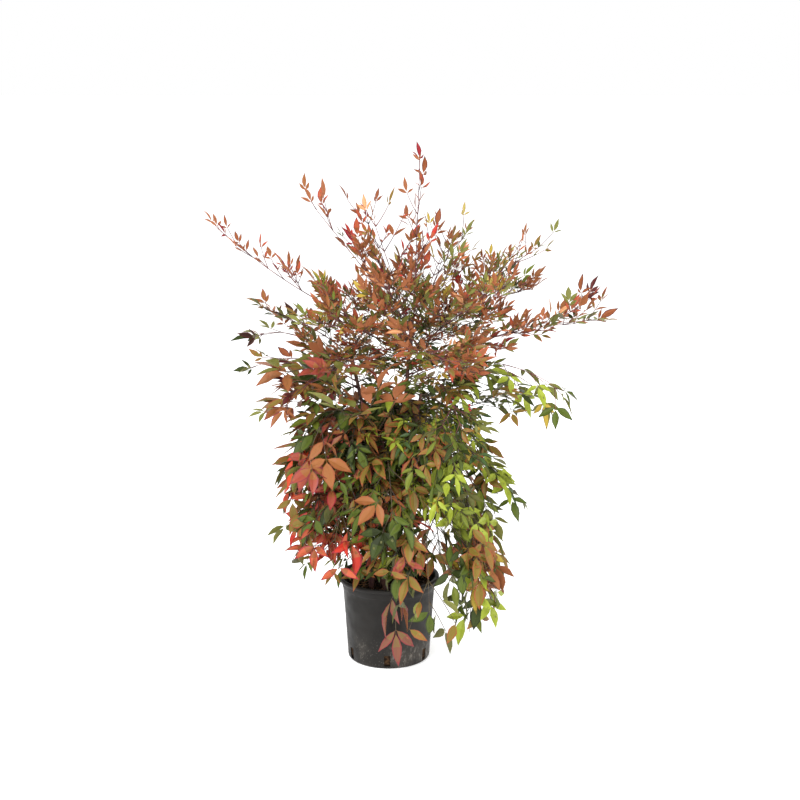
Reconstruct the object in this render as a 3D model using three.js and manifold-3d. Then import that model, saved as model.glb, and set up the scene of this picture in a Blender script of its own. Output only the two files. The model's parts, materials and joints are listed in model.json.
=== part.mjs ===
// A heavenly bamboo (Nandina domestica) growing in a ten litre nursery pot.
//
// The shrub is a clump of slender upright canes. Two tall canes carry an open crown of long compound
// leaves; a ring of shorter canes carries a dense skirt of leaves that arch over and hang. Each compound
// leaf is one spray: a thin stem, pairs of side stalks along it, and leaflets in threes on every stalk.
//
// Millimetres, +Z up. The origin is the middle of the pot's flat underside, and the crown's long sprays
// run mostly along X.

import * as THREE from "three";
import { mergeVertices } from "three/addons/utils/BufferGeometryUtils.js";
import Module from "manifold-3d";

const wasm = await Module();
wasm.setup();

// ---------------------------------------------------------------- driving dimensions

const GAP = 0.3; // running gap between pieces that touch
const UP = new THREE.Vector3(0, 0, 1);

const POT = {
  height: 235,
  lipRadius: 139,
  lipDepth: 11, // the turned-down skirt of the lip
  topRadius: 129, // outside of the wall under the lip
  baseRadius: 113,
  cornerRadius: 8,
  wall: 2.2,
  floor: 3,
  sides: 32,
};
const SLOT = { count: 6, width: 17, low: 8, high: 40, depth: 30, turn: -2 };
const SOIL = { top: 204, chamfer: 8 };

const CANE = { sides: 8, stations: [0, 0.06, 0.3, 0.55, 0.78, 1], flare: 0.35, flareReach: 0.05 };
const STEM = {
  rootRadius: 1.9,
  tipRadius: 1,
  sides: 3,
  stations: [0, 0.16, 0.36, 0.59, 0.82, 1],
  stalksAt: { 2: [2, 4], 3: [2, 3, 4] }, // the stations that carry two or three pairs of stalks
  middle: 0.54, // where the stem's bend stands between its ends
  samples: 90,
  longerThan: 520, // stems with a third pair of stalks
};
// The side stalks' lengths are shares of the stem's.
const STALK = { rootRadius: 1, tipRadius: 0.75, longest: 0.32, shortest: 0.2 };
const LEAFLET = {
  width: 0.42, // width, widest place and thickness are shares of the length
  widest: 0.42,
  thickness: 0.015,
  sideSizes: [0.86, 0.65], // of the leaflet between them
  sideTurns: [47, 35, 60],
};
const SPRAY_FINENESS = 0.25;
const CLEAR = { stem: 6.5, limb: 5, pot: 4, ground: 14, piece: 1.5 };

// Each cane stands on the soil at foot, leans to top, and tapers from one radius to the other.
// The whorl under a tall cane's top is listed spray by spray, because those sprays draw the crown's
// outline: heading in degrees (0 is +X, 90 is +Y), reach from the cane, height of the stem's end above
// the ground, arch of the stem over its chord, and length of its leaflets.
const TALL_CANES = [
  {
    name: "cane_tall_right",
    foot: [26, 6],
    top: [64, 0, 946],
    radii: [8, 4.6],
    whorl: [0.985, 0.72],
    sprays: [
      { heading: 330, reach: 22, height: 1345, arch: 40, leaflet: 58, spread: 0.45, pairs: 3 },
      { heading: 172, reach: 255, height: 1235, arch: 0, leaflet: 66 },
      { heading: 212, reach: 125, height: 1195, arch: 10, leaflet: 64 },
      { heading: 120, reach: 225, height: 1170, arch: 20, leaflet: 68 },
      { heading: 12, reach: 130, height: 1145, arch: 60, leaflet: 66 },
      { heading: 184, reach: 505, height: 1195, arch: -70, leaflet: 60, spread: 0.7 },
      { heading: 68, reach: 280, height: 1110, arch: 40, leaflet: 72 },
      { heading: 256, reach: 235, height: 1060, arch: 50, leaflet: 78 },
      { heading: 19, reach: 335, height: 1105, arch: 20, leaflet: 78 },
      { heading: 320, reach: 280, height: 1030, arch: 40, leaflet: 82 },
      { heading: 228, reach: 310, height: 970, arch: 50, leaflet: 84 },
      { heading: 36, reach: 375, height: 985, arch: 60, leaflet: 82 },
      { heading: 356, reach: 480, height: 950, arch: 45, leaflet: 76, spread: 0.8 },
      { heading: 286, reach: 320, height: 890, arch: 80, leaflet: 90 },
      { heading: 338, reach: 400, height: 805, arch: 95, leaflet: 90 },
      { heading: 6, reach: 345, height: 755, arch: 110, leaflet: 96 },
      { heading: 302, reach: 235, height: 740, arch: 110, leaflet: 96 },
    ],
  },
  {
    name: "cane_tall_left",
    foot: [-14, -6],
    top: [-106, 20, 862],
    radii: [7.5, 4.4],
    whorl: [0.985, 0.8],
    sprays: [
      { heading: 176, reach: 210, height: 965, arch: 25, leaflet: 70, spread: 0.8 },
      { heading: 96, reach: 240, height: 960, arch: 40, leaflet: 82 },
      { heading: 262, reach: 240, height: 860, arch: 50, leaflet: 92 },
      { heading: 150, reach: 290, height: 880, arch: 70, leaflet: 82 },
      { heading: 189, reach: 260, height: 830, arch: 70, leaflet: 80 },
      { heading: 225, reach: 240, height: 765, arch: 90, leaflet: 94 },
    ],
  },
];

// The short canes stand in a ring and lean outwards.
const SHORT_CANES = {
  footRadius: 50,
  lean: 60,
  firstHeading: 262,
  heights: [640, 760, 600, 720, 620, 740],
  radii: [6.5, 4.2],
};

// The skirt's sprays are dealt out round the clump by a fixed turn from one to the next, from the top
// down. Each goes to the nearest short cane that has room and leaves it under the one before. Stems end
// at reach from the clump's middle; on the +X side the skirt is wider and hangs lower.
const SKIRT = {
  sprays: 24,
  firstHeading: 62,
  turn: 137.5,
  heights: [850, 205],
  hangLower: 115,
  lowestAt: 10,
  reach: 278,
  reachMore: 22,
  attach: 0.985,
  attachStep: 0.1,
  arch: 60,
  archShare: 0.45, // of the fall from the cane to the stem's end
  leaflet: [108, 122],
};

// One long shoot falls over the pot's front.
const FRONT_SPRAY = {
  cane: 0,
  attach: 0.52,
  heading: 277,
  reach: 163,
  height: 128,
  arch: 330,
  middle: 0.95,
  leaflet: 100,
  spread: 0.7,
};

// One panicle of berries hangs among the leaves on the +X side of the front.
const BERRY_SPRAY = { heading: 313, attach: 0.62, reach: 230, height: 752, arch: 45, berries: 8 };
const BERRY = { radius: 4.6, offset: 3.4, turn: 137.5, first: 0.62, detail: 0 };

// ---------------------------------------------------------------- small helpers

/** Repeatable random numbers from 0 to 1: a linear congruential generator. */
function seeded(seed) {
  let state = (seed * 2654435761) >>> 0;
  return () => {
    state = (Math.imul(state, 1664525) + 1013904223) >>> 0;
    return state / 4294967296;
  };
}

const radians = THREE.MathUtils.degToRad;
const lerp = THREE.MathUtils.lerp;
const headingVector = (degrees) =>
  new THREE.Vector3(Math.cos(radians(degrees)), Math.sin(radians(degrees)), 0);
const blend = (a, b, share) => a.clone().multiplyScalar(1 - share).addScaledVector(b, share).normalize();

/** A closed geometry as a manifold-3d solid, with its repeated corners merged. */
function solid(geometry) {
  const bare = new THREE.BufferGeometry();
  bare.setAttribute("position", geometry.getAttribute("position"));
  if (geometry.getIndex()) bare.setIndex(geometry.getIndex());
  const merged = mergeVertices(bare, 1e-4);
  const triangles = [];
  const index = merged.getIndex().array;
  for (let i = 0; i < index.length; i += 3) {
    const [a, b, c] = [index[i], index[i + 1], index[i + 2]];
    if (a !== b && b !== c && c !== a) triangles.push(a, b, c);
  }
  return new wasm.Manifold(
    new wasm.Mesh({
      numProp: 3,
      vertProperties: merged.getAttribute("position").array,
      triVerts: new Uint32Array(triangles),
    }),
  );
}

/** The other way round: a solid's vertices and triangles as a geometry. */
function geometryOf(made) {
  const mesh = made.getMesh();
  const geometry = new THREE.BufferGeometry();
  geometry.setAttribute("position", new THREE.BufferAttribute(mesh.vertProperties, 3));
  geometry.setIndex(new THREE.BufferAttribute(mesh.triVerts, 1));
  return geometry.toNonIndexed();
}

/**
 * A cylinder with each of its rings moved to a station: the place of the ring's middle, the way on from
 * there, the side that the ring's x turns to, and its radii across and through.
 */
function drawnCylinder(stations, sides) {
  const last = stations.length - 1;
  const geometry = new THREE.CylinderGeometry(1, 1, 1, sides, last);
  const position = geometry.getAttribute("position");
  const corner = new THREE.Vector3();
  for (let i = 0; i < position.count; i++) {
    corner.fromBufferAttribute(position, i);
    const ring = stations[Math.round((corner.y + 0.5) * last)];
    const through = new THREE.Vector3().crossVectors(ring.side, ring.way);
    const place = ring.place.clone().addScaledVector(ring.side, corner.x * ring.across);
    place.addScaledVector(through, corner.z * ring.through);
    position.setXYZ(i, place.x, place.y, place.z);
  }
  return geometry;
}

/** Round stations along a curve, at shares of its length. */
function roundStations(curve, side, radius, shares) {
  return shares.map((share) => {
    const r = radius(share);
    return { place: curve.getPoint(share), way: curve.getTangent(share), side, across: r, through: r };
  });
}

// ---------------------------------------------------------------- the pot and its soil

function latheSolid(profile) {
  const points = profile.map(([r, z]) => new THREE.Vector2(r, z));
  return solid(new THREE.LatheGeometry(points, POT.sides).rotateX(Math.PI / 2));
}

/** Outside radius of the pot's wall at a height. */
const wallRadius = (z) => lerp(POT.baseRadius, POT.topRadius, z / POT.height);

/** A tapered pot with a turned-down lip, a flat base and drain slots round its foot. */
function potSolid() {
  const { height, lipRadius, lipDepth, cornerRadius, wall, floor } = POT;
  const corner = [0, 45, 90].map((degrees) => [
    POT.baseRadius - cornerRadius * (1 - Math.sin(radians(degrees))),
    cornerRadius * (1 - Math.cos(radians(degrees))),
  ]);
  const under = height - wall;
  const pot = latheSolid([
    [0, 0],
    ...corner,
    [wallRadius(under), under],
    [lipRadius - wall, under],
    [lipRadius - wall, height - lipDepth],
    [lipRadius, height - lipDepth],
    [lipRadius, height - 1],
    [lipRadius - 1, height],
    [wallRadius(height) - wall, height],
    [POT.baseRadius - wall, cornerRadius + 3],
    [POT.baseRadius - cornerRadius, floor],
    [0, floor],
  ]);
  let cut = pot;
  for (let i = 0; i < SLOT.count; i++) {
    const heading = 270 + SLOT.turn + (360 / SLOT.count) * i;
    const box = new THREE.BoxGeometry(SLOT.depth, SLOT.width, SLOT.high - SLOT.low);
    box.translate(POT.baseRadius, 0, (SLOT.low + SLOT.high) / 2);
    cut = cut.subtract(solid(box.rotateZ(radians(heading))));
  }
  return cut;
}

/** The root ball fills the pot to three centimetres under its lip. */
function soilSolid() {
  const inside = (z) => wallRadius(z) - POT.wall - 2 * GAP;
  const low = POT.floor + GAP;
  return latheSolid([
    [0, low],
    [POT.baseRadius - POT.cornerRadius - 3, low],
    [inside(low) - 1, low + SOIL.chamfer + 3],
    [inside(SOIL.top), SOIL.top],
    [0, SOIL.top],
  ]);
}

// ---------------------------------------------------------------- canes

/** The tall canes with their whorls of sprays, each spray a step lower on its cane than the last. */
function planTallCanes() {
  return TALL_CANES.map((cane) => {
    const last = cane.sprays.length - 1;
    const sprays = cane.sprays.map((spray, i) => {
      const attach = lerp(cane.whorl[0], cane.whorl[1], i / last);
      const from = caneCurve(cane).getPoint(attach);
      const end = from.addScaledVector(headingVector(spray.heading), spray.reach);
      return { ...spray, attach, end: end.setZ(spray.height) };
    });
    return { ...cane, sprays };
  });
}

/** The berry spray on its cane. */
function planBerries(cane) {
  const from = caneCurve(cane).getPoint(BERRY_SPRAY.attach);
  const end = from.addScaledVector(headingVector(BERRY_SPRAY.heading), BERRY_SPRAY.reach);
  cane.sprays.push({ ...BERRY_SPRAY, end: end.setZ(BERRY_SPRAY.height) });
}

/** The ring of short canes, with the skirt's sprays dealt to them. */
function planShortCanes() {
  const { heights, footRadius, lean, firstHeading, radii } = SHORT_CANES;
  const canes = heights.map((height, i) => {
    const way = headingVector(firstHeading + (360 / heights.length) * i);
    const foot = way.clone().multiplyScalar(footRadius);
    const top = way.clone().multiplyScalar(footRadius + lean).setZ(height);
    return { name: `cane_short_${i + 1}`, foot: [foot.x, foot.y], top: top.toArray(), radii, sprays: [] };
  });
  const room = Math.ceil(SKIRT.sprays / canes.length);
  for (let i = 0; i < SKIRT.sprays; i++) {
    const heading = SKIRT.firstHeading + SKIRT.turn * i;
    const share = i / (SKIRT.sprays - 1);
    const towardsX = Math.cos(radians(heading - SKIRT.lowestAt));
    const end = headingVector(heading).multiplyScalar(SKIRT.reach + SKIRT.reachMore * towardsX);
    end.setZ(lerp(SKIRT.heights[0], SKIRT.heights[1] - SKIRT.hangLower * towardsX, share));
    const away = (cane) => Math.hypot(cane.top[0] - end.x, cane.top[1] - end.y);
    const free = canes.filter((cane) => cane.sprays.length < room);
    const cane = free.reduce((best, other) => (away(other) < away(best) ? other : best));
    const attach = SKIRT.attach - SKIRT.attachStep * cane.sprays.length;
    const fall = Math.max(0, cane.top[2] - end.z);
    const leaflet = lerp(SKIRT.leaflet[0], SKIRT.leaflet[1], share);
    cane.sprays.push({ attach, end, arch: SKIRT.arch + SKIRT.archShare * fall, leaflet });
  }
  const front = canes[FRONT_SPRAY.cane];
  const end = headingVector(FRONT_SPRAY.heading).multiplyScalar(FRONT_SPRAY.reach);
  front.sprays.push({ ...FRONT_SPRAY, end: end.setZ(FRONT_SPRAY.height) });
  return canes;
}

/** A cane's curve: upright at its foot, then leaning to its top. */
function caneCurve({ foot, top }) {
  const from = new THREE.Vector3(foot[0], foot[1], SOIL.top + GAP);
  const to = new THREE.Vector3(...top);
  const bend = new THREE.Vector3(from.x, from.y, lerp(from.z, to.z, 0.5)).lerp(to, 0.25);
  return new THREE.QuadraticBezierCurve3(from, bend, to);
}

/** Every cane with its curve, the way it leans, its radius at a share of its length, and its sprays. */
function planCanes() {
  const tall = planTallCanes();
  planBerries(tall[0]);
  return [...tall, ...planShortCanes()].map((cane) => {
    const curve = caneCurve(cane);
    const lean = curve.v2.clone().sub(curve.v0).setZ(0).normalize();
    const swell = (share) => 1 + CANE.flare * Math.exp(-share / CANE.flareReach);
    const radius = (share) => lerp(cane.radii[0], cane.radii[1], share) * swell(share);
    return { ...cane, curve, lean, radius, samples: curve.getPoints(STEM.samples) };
  });
}

function caneSolid({ curve, lean, radius }) {
  const side = new THREE.Vector3().crossVectors(UP, lean);
  const stations = roundStations(curve, side, radius, CANE.stations);
  stations[0].way = UP;
  return solid(drawnCylinder(stations, CANE.sides));
}

// ---------------------------------------------------------------- sprays

/** A spray's stem: it leaves the cane's side, climbs and arches to its end. */
function stemCurve(cane, { attach, end, arch, middle = STEM.middle }, turn) {
  const centre = cane.curve.getPoint(attach);
  const reach = end.clone().sub(centre).applyAxisAngle(UP, radians(turn));
  const way = reach.clone().setZ(0).normalize();
  const start = centre.clone().addScaledVector(way, cane.radius(attach) + GAP);
  const tip = centre.add(reach);
  const bend = start.clone().lerp(tip, middle).addScaledVector(UP, arch);
  return { way, curve: new THREE.QuadraticBezierCurve3(start, bend, tip) };
}

/** Distance from a point to the nearest of a row of points. */
const nearest = (point, row) =>
  Math.sqrt(row.reduce((least, other) => Math.min(least, point.distanceToSquared(other)), Infinity));

/** Distance from a point to a cane's bark. */
const fromCane = (point, cane) => nearest(point, cane.samples) - cane.radius(0.5);

/** Turns each stem about its cane, a little at a time, until it is clear of canes and other stems. */
function planStems(canes) {
  const stems = [];
  for (const cane of canes) {
    for (const spray of cane.sprays) {
      for (let tries = 0; tries < 40; tries++) {
        const turn = 4 * Math.ceil(tries / 2) * (tries % 2 ? 1 : -1);
        const { way, curve } = stemCurve(cane, spray, turn);
        const samples = curve.getPoints(STEM.samples);
        const clearOfCanes = canes.every((other) =>
          samples.every((p, i) => (other === cane && i < 9) || fromCane(p, other) > CLEAR.limb),
        );
        const clearOfStems = stems.every((other) =>
          samples.every((p) => nearest(p, other.samples) > CLEAR.stem),
        );
        const clearOfPot = samples.every((p) => fromPot(p) > CLEAR.pot);
        if (clearOfCanes && clearOfStems && clearOfPot) {
          stems.push({ ...spray, cane, way, curve, samples, turn });
          break;
        }
      }
    }
  }
  return stems;
}

/** How far a point is outside the pot: beside its lip and wall, or above its mouth. */
function fromPot(p) {
  return Math.max(Math.hypot(p.x, p.y) - POT.lipRadius, p.z - POT.height);
}

/** The pot with its mouth and the ground, both a little larger: leaves stay out of them. */
function keepOut() {
  const pot = new THREE.CylinderGeometry(1, 1, POT.height, POT.sides).rotateX(Math.PI / 2);
  pot.scale(POT.lipRadius + CLEAR.pot, POT.lipRadius + CLEAR.pot, 1).translate(0, 0, POT.height / 2);
  const ground = new THREE.BoxGeometry(2000, 2000, CLEAR.ground).translate(0, 0, CLEAR.ground / 2);
  return solid(pot).add(solid(ground));
}

// Pieces of the crown in place so far. A new piece keeps clear of all but the ones it grows from.
const inPlace = [];

function place(made) {
  inPlace.push({ made, ...made.boundingBox() });
}

function hasRoom(made, grownFrom) {
  const { min, max } = made.boundingBox();
  return inPlace.every((other) => {
    if (grownFrom.includes(other.made)) return true;
    const beside = (k) => min[k] > other.max[k] + CLEAR.piece || max[k] < other.min[k] - CLEAR.piece;
    if (beside(0) || beside(1) || beside(2)) return true;
    return made.minGap(other.made, CLEAR.piece) > CLEAR.piece * 0.99;
  });
}

/** A blade's stations: its root on a stalk, its widest place, and the point of its tip. */
function bladeStations({ root, way, side, length }) {
  const at = (along) => root.clone().addScaledVector(way, along);
  const neck = STALK.tipRadius;
  const across = (length * LEAFLET.width) / 2 / Math.sin(radians(120));
  const through = length * LEAFLET.thickness;
  return [
    { place: at(0), way, side, across: neck, through: neck },
    { place: at(length * LEAFLET.widest), way, side, across, through },
    { place: at(length), way, side, across: 0, through: 0 },
  ];
}

/** A stem or stalk that runs on into the leaflet at its end. */
function leafedBranch(stations, leaf) {
  return solid(drawnCylinder([...stations.slice(0, -1), ...bladeStations(leaf)], STEM.sides));
}

/** A leaf like the one straight on, turned to the side and rolled about its own midrib. */
function turnedLeaf(leaf, turn, roll, size) {
  const face = new THREE.Vector3().crossVectors(leaf.way, leaf.side);
  const way = leaf.way.clone().applyAxisAngle(face, radians(turn));
  const side = leaf.side.clone().applyAxisAngle(face, radians(turn)).applyAxisAngle(way, radians(roll));
  return { root: leaf.root, way, side, length: leaf.length * size };
}

/** Moves the stem's root to the running gap off its cane's bark: out, then back by what is too much. */
function seatOnCane(stem) {
  const root = stem.stations[0].place.addScaledVector(stem.way, 2);
  for (let i = 0; i < 3; i++) {
    const gap = solid(drawnCylinder(stem.stations, STEM.sides)).minGap(stem.cane.made, 10);
    root.addScaledVector(stem.way, GAP - gap);
  }
}

/** Starts a spray: its stem, and what its stalks and leaflets need to know of it. */
function startSpray(stem, number) {
  stem.random = seeded(number);
  stem.level = new THREE.Vector3().crossVectors(UP, stem.way);
  const fall = stem.curve.v0.z - stem.curve.v2.z;
  stem.hang = THREE.MathUtils.clamp((fall + 50) / 280, -0.5, 1);
  const radius = (share) => lerp(STEM.rootRadius, STEM.tipRadius, share);
  stem.stations = roundStations(stem.curve, stem.level, radius, STEM.stations);
  stem.stations[0].way = stem.way;
  seatOnCane(stem);
  stem.bare = solid(drawnCylinder(stem.stations, STEM.sides));
  stem.pairs ??= stem.curve.getLength() > STEM.longerThan ? 3 : 2;
  stem.branches = [];
  stem.partners = [];
  stem.pieces = [];
  place(stem.bare);
}

/** Berries set closely round the last part of a stem. */
function growBerries(stem) {
  stem.pieces.push(stem.bare);
  for (let i = 0; i < stem.berries; i++) {
    const share = lerp(BERRY.first, 1, i / (stem.berries - 1));
    const along = stem.curve.getTangent(share);
    const off = stem.level.clone().applyAxisAngle(along, radians(BERRY.turn * i));
    const centre = stem.curve.getPoint(share).addScaledVector(off, BERRY.offset);
    const berry = new THREE.IcosahedronGeometry(BERRY.radius, BERRY.detail);
    const made = solid(berry.translate(centre.x, centre.y, centre.z));
    place(made);
    stem.pieces.push(made);
  }
}

/** The leaflet at the stem's end. */
function growEnd(stem) {
  const way = stem.curve.getTangent(1).addScaledVector(UP, -0.5 * stem.hang).normalize();
  const leaf = { root: stem.curve.v2, way, side: stem.level, length: stem.leaflet };
  const blade = solid(drawnCylinder(bladeStations(leaf), STEM.sides));
  const made = hasRoom(blade, [stem.bare]) ? leafedBranch(stem.stations, leaf) : stem.bare;
  place(made);
  stem.pieces.push(made);
  stem.branches.push({ leaf, made });
}

/** One side stalk with the leaflet at its end: shorter, or rolled further, where room is short. */
function growStalk(stem, pair, hand) {
  const share = STEM.stations[STEM.stalksAt[stem.pairs][pair]];
  const root = stem.curve.getPoint(share);
  const along = stem.curve.getTangent(share);
  const reach = lerp(STALK.longest, STALK.shortest, pair / (stem.pairs - 1));
  const full = stem.curve.getLength() * reach * (stem.spread ?? 1);
  const [roll, spread, tilt] = [0, 1, 2].map(() => stem.random());
  for (const shorter of [1, 0.75, 0.5])
    for (const more of [0, 25, -25, 50]) {
      const turn = radians(lerp(-25, 25, roll) + more) * hand;
      const out = stem.level.clone().multiplyScalar(hand).applyAxisAngle(along, turn);
      const way = blend(along, out, lerp(0.5, 0.62, spread));
      way.addScaledVector(UP, -0.45 * stem.hang).normalize();
      const tip = root.clone().addScaledVector(way, full * shorter);
      const side = new THREE.Vector3().crossVectors(UP, way).normalize();
      const radius = (s) => lerp(STALK.rootRadius, STALK.tipRadius, s);
      const stations = roundStations(new THREE.LineCurve3(root, tip), side, radius, [0, 1]);
      const leafWay = way.clone().addScaledVector(UP, -0.6 * stem.hang).normalize();
      const leafSide = new THREE.Vector3().crossVectors(UP, leafWay).normalize();
      leafSide.applyAxisAngle(leafWay, radians(lerp(-45, 45, tilt)));
      const leaf = { root: tip, way: leafWay, side: leafSide, length: stem.leaflet };
      const made = leafedBranch(stations, leaf);
      if (!hasRoom(made, [stem.bare, stem.pieces[0], stem.partners[pair]])) continue;
      place(made);
      stem.pieces.push(made);
      stem.partners[pair] = made;
      stem.branches.push({ leaf, made, inner: pair === 0 });
      return;
    }
}

/** A side leaflet at a branch's end, turned or rolled a little, or smaller, where room is short. */
function growSideLeaf(stem, branch, hand) {
  for (const size of LEAFLET.sideSizes)
    for (const turn of LEAFLET.sideTurns)
      for (const roll of [0, 30, -30, 60]) {
        const leaf = turnedLeaf(branch.leaf, turn * hand, roll, size);
        const made = solid(drawnCylinder(bladeStations(leaf), STEM.sides));
        if (!hasRoom(made, [branch.made, branch.mate, stem.bare])) continue;
        place(made);
        stem.pieces.push(made);
        branch.mate = made;
        return;
      }
}

/**
 * Grows all the sprays together: stems, then stalks pair by pair, then the side leaflets. The pair of
 * stalks nearest the cane carries two leaflets each, every other stalk and the stem's end three.
 */
function growSprays(all) {
  all.forEach(startSpray);
  all.filter((stem) => stem.berries).forEach(growBerries);
  const stems = all.filter((stem) => !stem.berries);
  stems.forEach(growEnd);
  const hands = [1, -1];
  for (let pair = 0; pair < 3; pair++)
    for (const stem of stems)
      if (pair < stem.pairs) hands.forEach((hand) => growStalk(stem, pair, hand));
  for (const hand of hands)
    for (const stem of stems)
      for (const branch of stem.branches)
        if (hand > 0 || !branch.inner) growSideLeaf(stem, branch, hand);
}

/** The spray's pieces fused into one solid. */
function spraySolid(stem) {
  const whole = stem.pieces.reduce((joined, piece) => joined.add(piece));
  return whole.asOriginal().simplify(SPRAY_FINENESS);
}

// ---------------------------------------------------------------- the assembly

const finish = (color, roughness) => new THREE.MeshStandardMaterial({ color, roughness, metalness: 0 });
const FINISHES = {
  pot: finish(0x3b3a38, 0.6),
  soil: finish(0x33261c, 0.95),
  cane: finish(0x4a3630, 0.75),
  crown: finish(0x9a4a30, 0.55),
  skirt: finish(0x6f7a35, 0.5),
  berries: finish(0xb3201c, 0.35),
};

const plant = new THREE.Group();
function addNode(name, made, material) {
  const mesh = new THREE.Mesh(geometryOf(made), material);
  mesh.name = name;
  plant.add(mesh);
}

const canes = planCanes();
const stems = planStems(canes);
for (const cane of canes) {
  cane.made = caneSolid(cane);
  place(cane.made);
}
place(keepOut());
growSprays(stems);

addNode("pot", potSolid(), FINISHES.pot);
addNode("soil", soilSolid(), FINISHES.soil);
for (const cane of canes) addNode(cane.name, cane.made, FINISHES.cane);
let number = 0;
for (const stem of stems) {
  const group = stem.berries ? "berries" : stem.cane.whorl ? "crown" : "skirt";
  const name = stem.berries ? "berry_panicle" : `${group}_spray_${String(++number).padStart(2, "0")}`;
  addNode(name, spraySolid(stem), FINISHES[group]);
}

export default plant;
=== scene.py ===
# %% [markdown]
# # A heavenly bamboo in its nursery pot
# The shrub is a clump of thin upright canes in a ten litre pot. Long compound leaves spray out of the
# canes. Those of the crown are small-leaved, open and coppery. Those of the skirt are larger and hang
# over the pot, red and bronze on the shaded side and lime green on the bright one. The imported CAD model
# already holds the canes, the pot and one plain solid for each spray, so this lesson grows the fine
# leaves along the same stems, and they take the place of the plain solids.
#
# Lengths are in millimetres while shapes are worked out, and become metres when a mesh is made.

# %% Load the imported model
import json

import bpy
import numpy as np
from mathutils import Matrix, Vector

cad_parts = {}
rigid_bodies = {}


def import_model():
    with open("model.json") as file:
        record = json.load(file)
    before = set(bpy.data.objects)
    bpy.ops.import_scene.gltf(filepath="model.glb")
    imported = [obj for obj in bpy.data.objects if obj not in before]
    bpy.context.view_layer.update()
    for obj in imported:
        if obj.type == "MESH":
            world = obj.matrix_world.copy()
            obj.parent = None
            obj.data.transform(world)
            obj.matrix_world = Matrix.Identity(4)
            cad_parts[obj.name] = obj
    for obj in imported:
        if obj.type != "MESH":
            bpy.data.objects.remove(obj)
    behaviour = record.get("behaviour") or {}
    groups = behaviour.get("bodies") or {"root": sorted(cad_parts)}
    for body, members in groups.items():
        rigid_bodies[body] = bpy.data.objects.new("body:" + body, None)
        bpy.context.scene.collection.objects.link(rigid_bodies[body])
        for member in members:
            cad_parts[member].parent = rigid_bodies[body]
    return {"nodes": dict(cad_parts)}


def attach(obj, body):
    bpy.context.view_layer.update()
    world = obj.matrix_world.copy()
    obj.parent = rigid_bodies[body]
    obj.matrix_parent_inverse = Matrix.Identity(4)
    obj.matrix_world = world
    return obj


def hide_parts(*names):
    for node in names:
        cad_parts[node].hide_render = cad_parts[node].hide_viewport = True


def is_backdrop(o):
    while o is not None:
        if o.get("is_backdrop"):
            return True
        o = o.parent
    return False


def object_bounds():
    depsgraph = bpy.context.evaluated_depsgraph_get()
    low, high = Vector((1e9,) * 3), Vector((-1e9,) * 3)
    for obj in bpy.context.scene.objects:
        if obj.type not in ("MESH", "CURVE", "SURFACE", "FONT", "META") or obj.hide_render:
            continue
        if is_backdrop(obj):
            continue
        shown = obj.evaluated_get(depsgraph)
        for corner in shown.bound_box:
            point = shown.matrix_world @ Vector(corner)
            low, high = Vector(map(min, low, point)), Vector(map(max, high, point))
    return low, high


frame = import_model()
CAD_BOX = np.array(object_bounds())
print("CAD box", [[round(value, 3) for value in corner] for corner in CAD_BOX])

# %% [markdown]
# ## The camera
# A product picture of a plant is taken from a little above, with a long lens so that the pot's sides
# stay straight. The camera could be aimed with a constraint; plain angles are simpler to read.

# %% The camera
CAMERA_PLACE = (0.031, -4.17, 1.69)
CAMERA_PITCH = 13  # degrees under the horizon
CAMERA_LENS = 71.6  # mm on a 36 mm sensor


def add_camera():
    """A camera that looks along +Y, tipped down by the pitch."""
    data = bpy.data.cameras.new("camera")
    data.lens = CAMERA_LENS
    data.sensor_width = 36
    data.clip_end = 200
    camera = bpy.data.objects.new("camera", data)
    camera.location = CAMERA_PLACE
    camera.rotation_euler = (np.radians(90 - CAMERA_PITCH), 0, 0)
    bpy.context.scene.collection.objects.link(camera)
    bpy.context.scene.camera = camera


add_camera()
print("camera at", CAMERA_PLACE)

# %% [markdown]
# ## Small tools
# Every new piece here is a surface worked out as arrays: rings of points carried along a line, or a
# profile carried round an axis. Both give a grid of points, so one function can lay the faces and
# another can fill a mesh. Arrays keep this quick, even for thousands of leaflets.

# %% Vectors and rings
MM = 0.001
UP = np.array([0.0, 0.0, 1.0])


def unit(vectors):
    """Each vector divided by its length."""
    return vectors / np.linalg.norm(vectors, axis=-1, keepdims=True)


def lerp(a, b, share):
    """a at share 0, b at share 1, and a straight line between."""
    return a + (b - a) * share


def rolled(vectors, axes, degrees):
    """Rodrigues' rule: v cos t + (axis x v) sin t + axis (axis . v)(1 - cos t)."""
    angle = np.radians(degrees)[..., None]
    dot = (vectors * axes).sum(-1, keepdims=True)
    side = np.cross(axes, vectors)
    return vectors * np.cos(angle) + side * np.sin(angle) + axes * dot * (1 - np.cos(angle))


def level_side(way):
    """The level direction square to each way: up x way, as long as 1."""
    return unit(np.cross(UP, way))


def either_way(random, most, count):
    """Random numbers from -most to most."""
    return random.uniform(-most, most, count)


def picked(rows, which):
    """The chosen rows of every array."""
    return {key: value[which] for key, value in rows.items()}


def stacked(parts):
    """The same arrays of several parts, one after another."""
    return {key: np.concatenate([part[key] for part in parts]) for key in parts[0]}


def turns(sides):
    """Angles of a ring's corners: 2 pi k / sides."""
    return 2 * np.pi * np.arange(sides) / sides


def ring_faces(rows, rings, sides):
    """Quads between neighbouring rings of every row, and the two end caps of each row.

    Point number = (row * rings + ring) * sides + corner. Corners run anticlockwise as seen from the
    row's end, so the faces look outwards.
    """
    first = (np.arange(rows)[:, None, None] * rings + np.arange(rings - 1)[:, None]) * sides
    here = np.arange(sides)
    on = (here + 1) % sides
    quads = np.stack([first + here, first + on, first + on + sides, first + here + sides], axis=-1)
    starts = np.arange(rows)[:, None] * rings * sides + here[::-1]
    ends = (np.arange(rows)[:, None] * rings + rings - 1) * sides + here
    return quads.reshape(-1, 4), starts, ends


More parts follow.
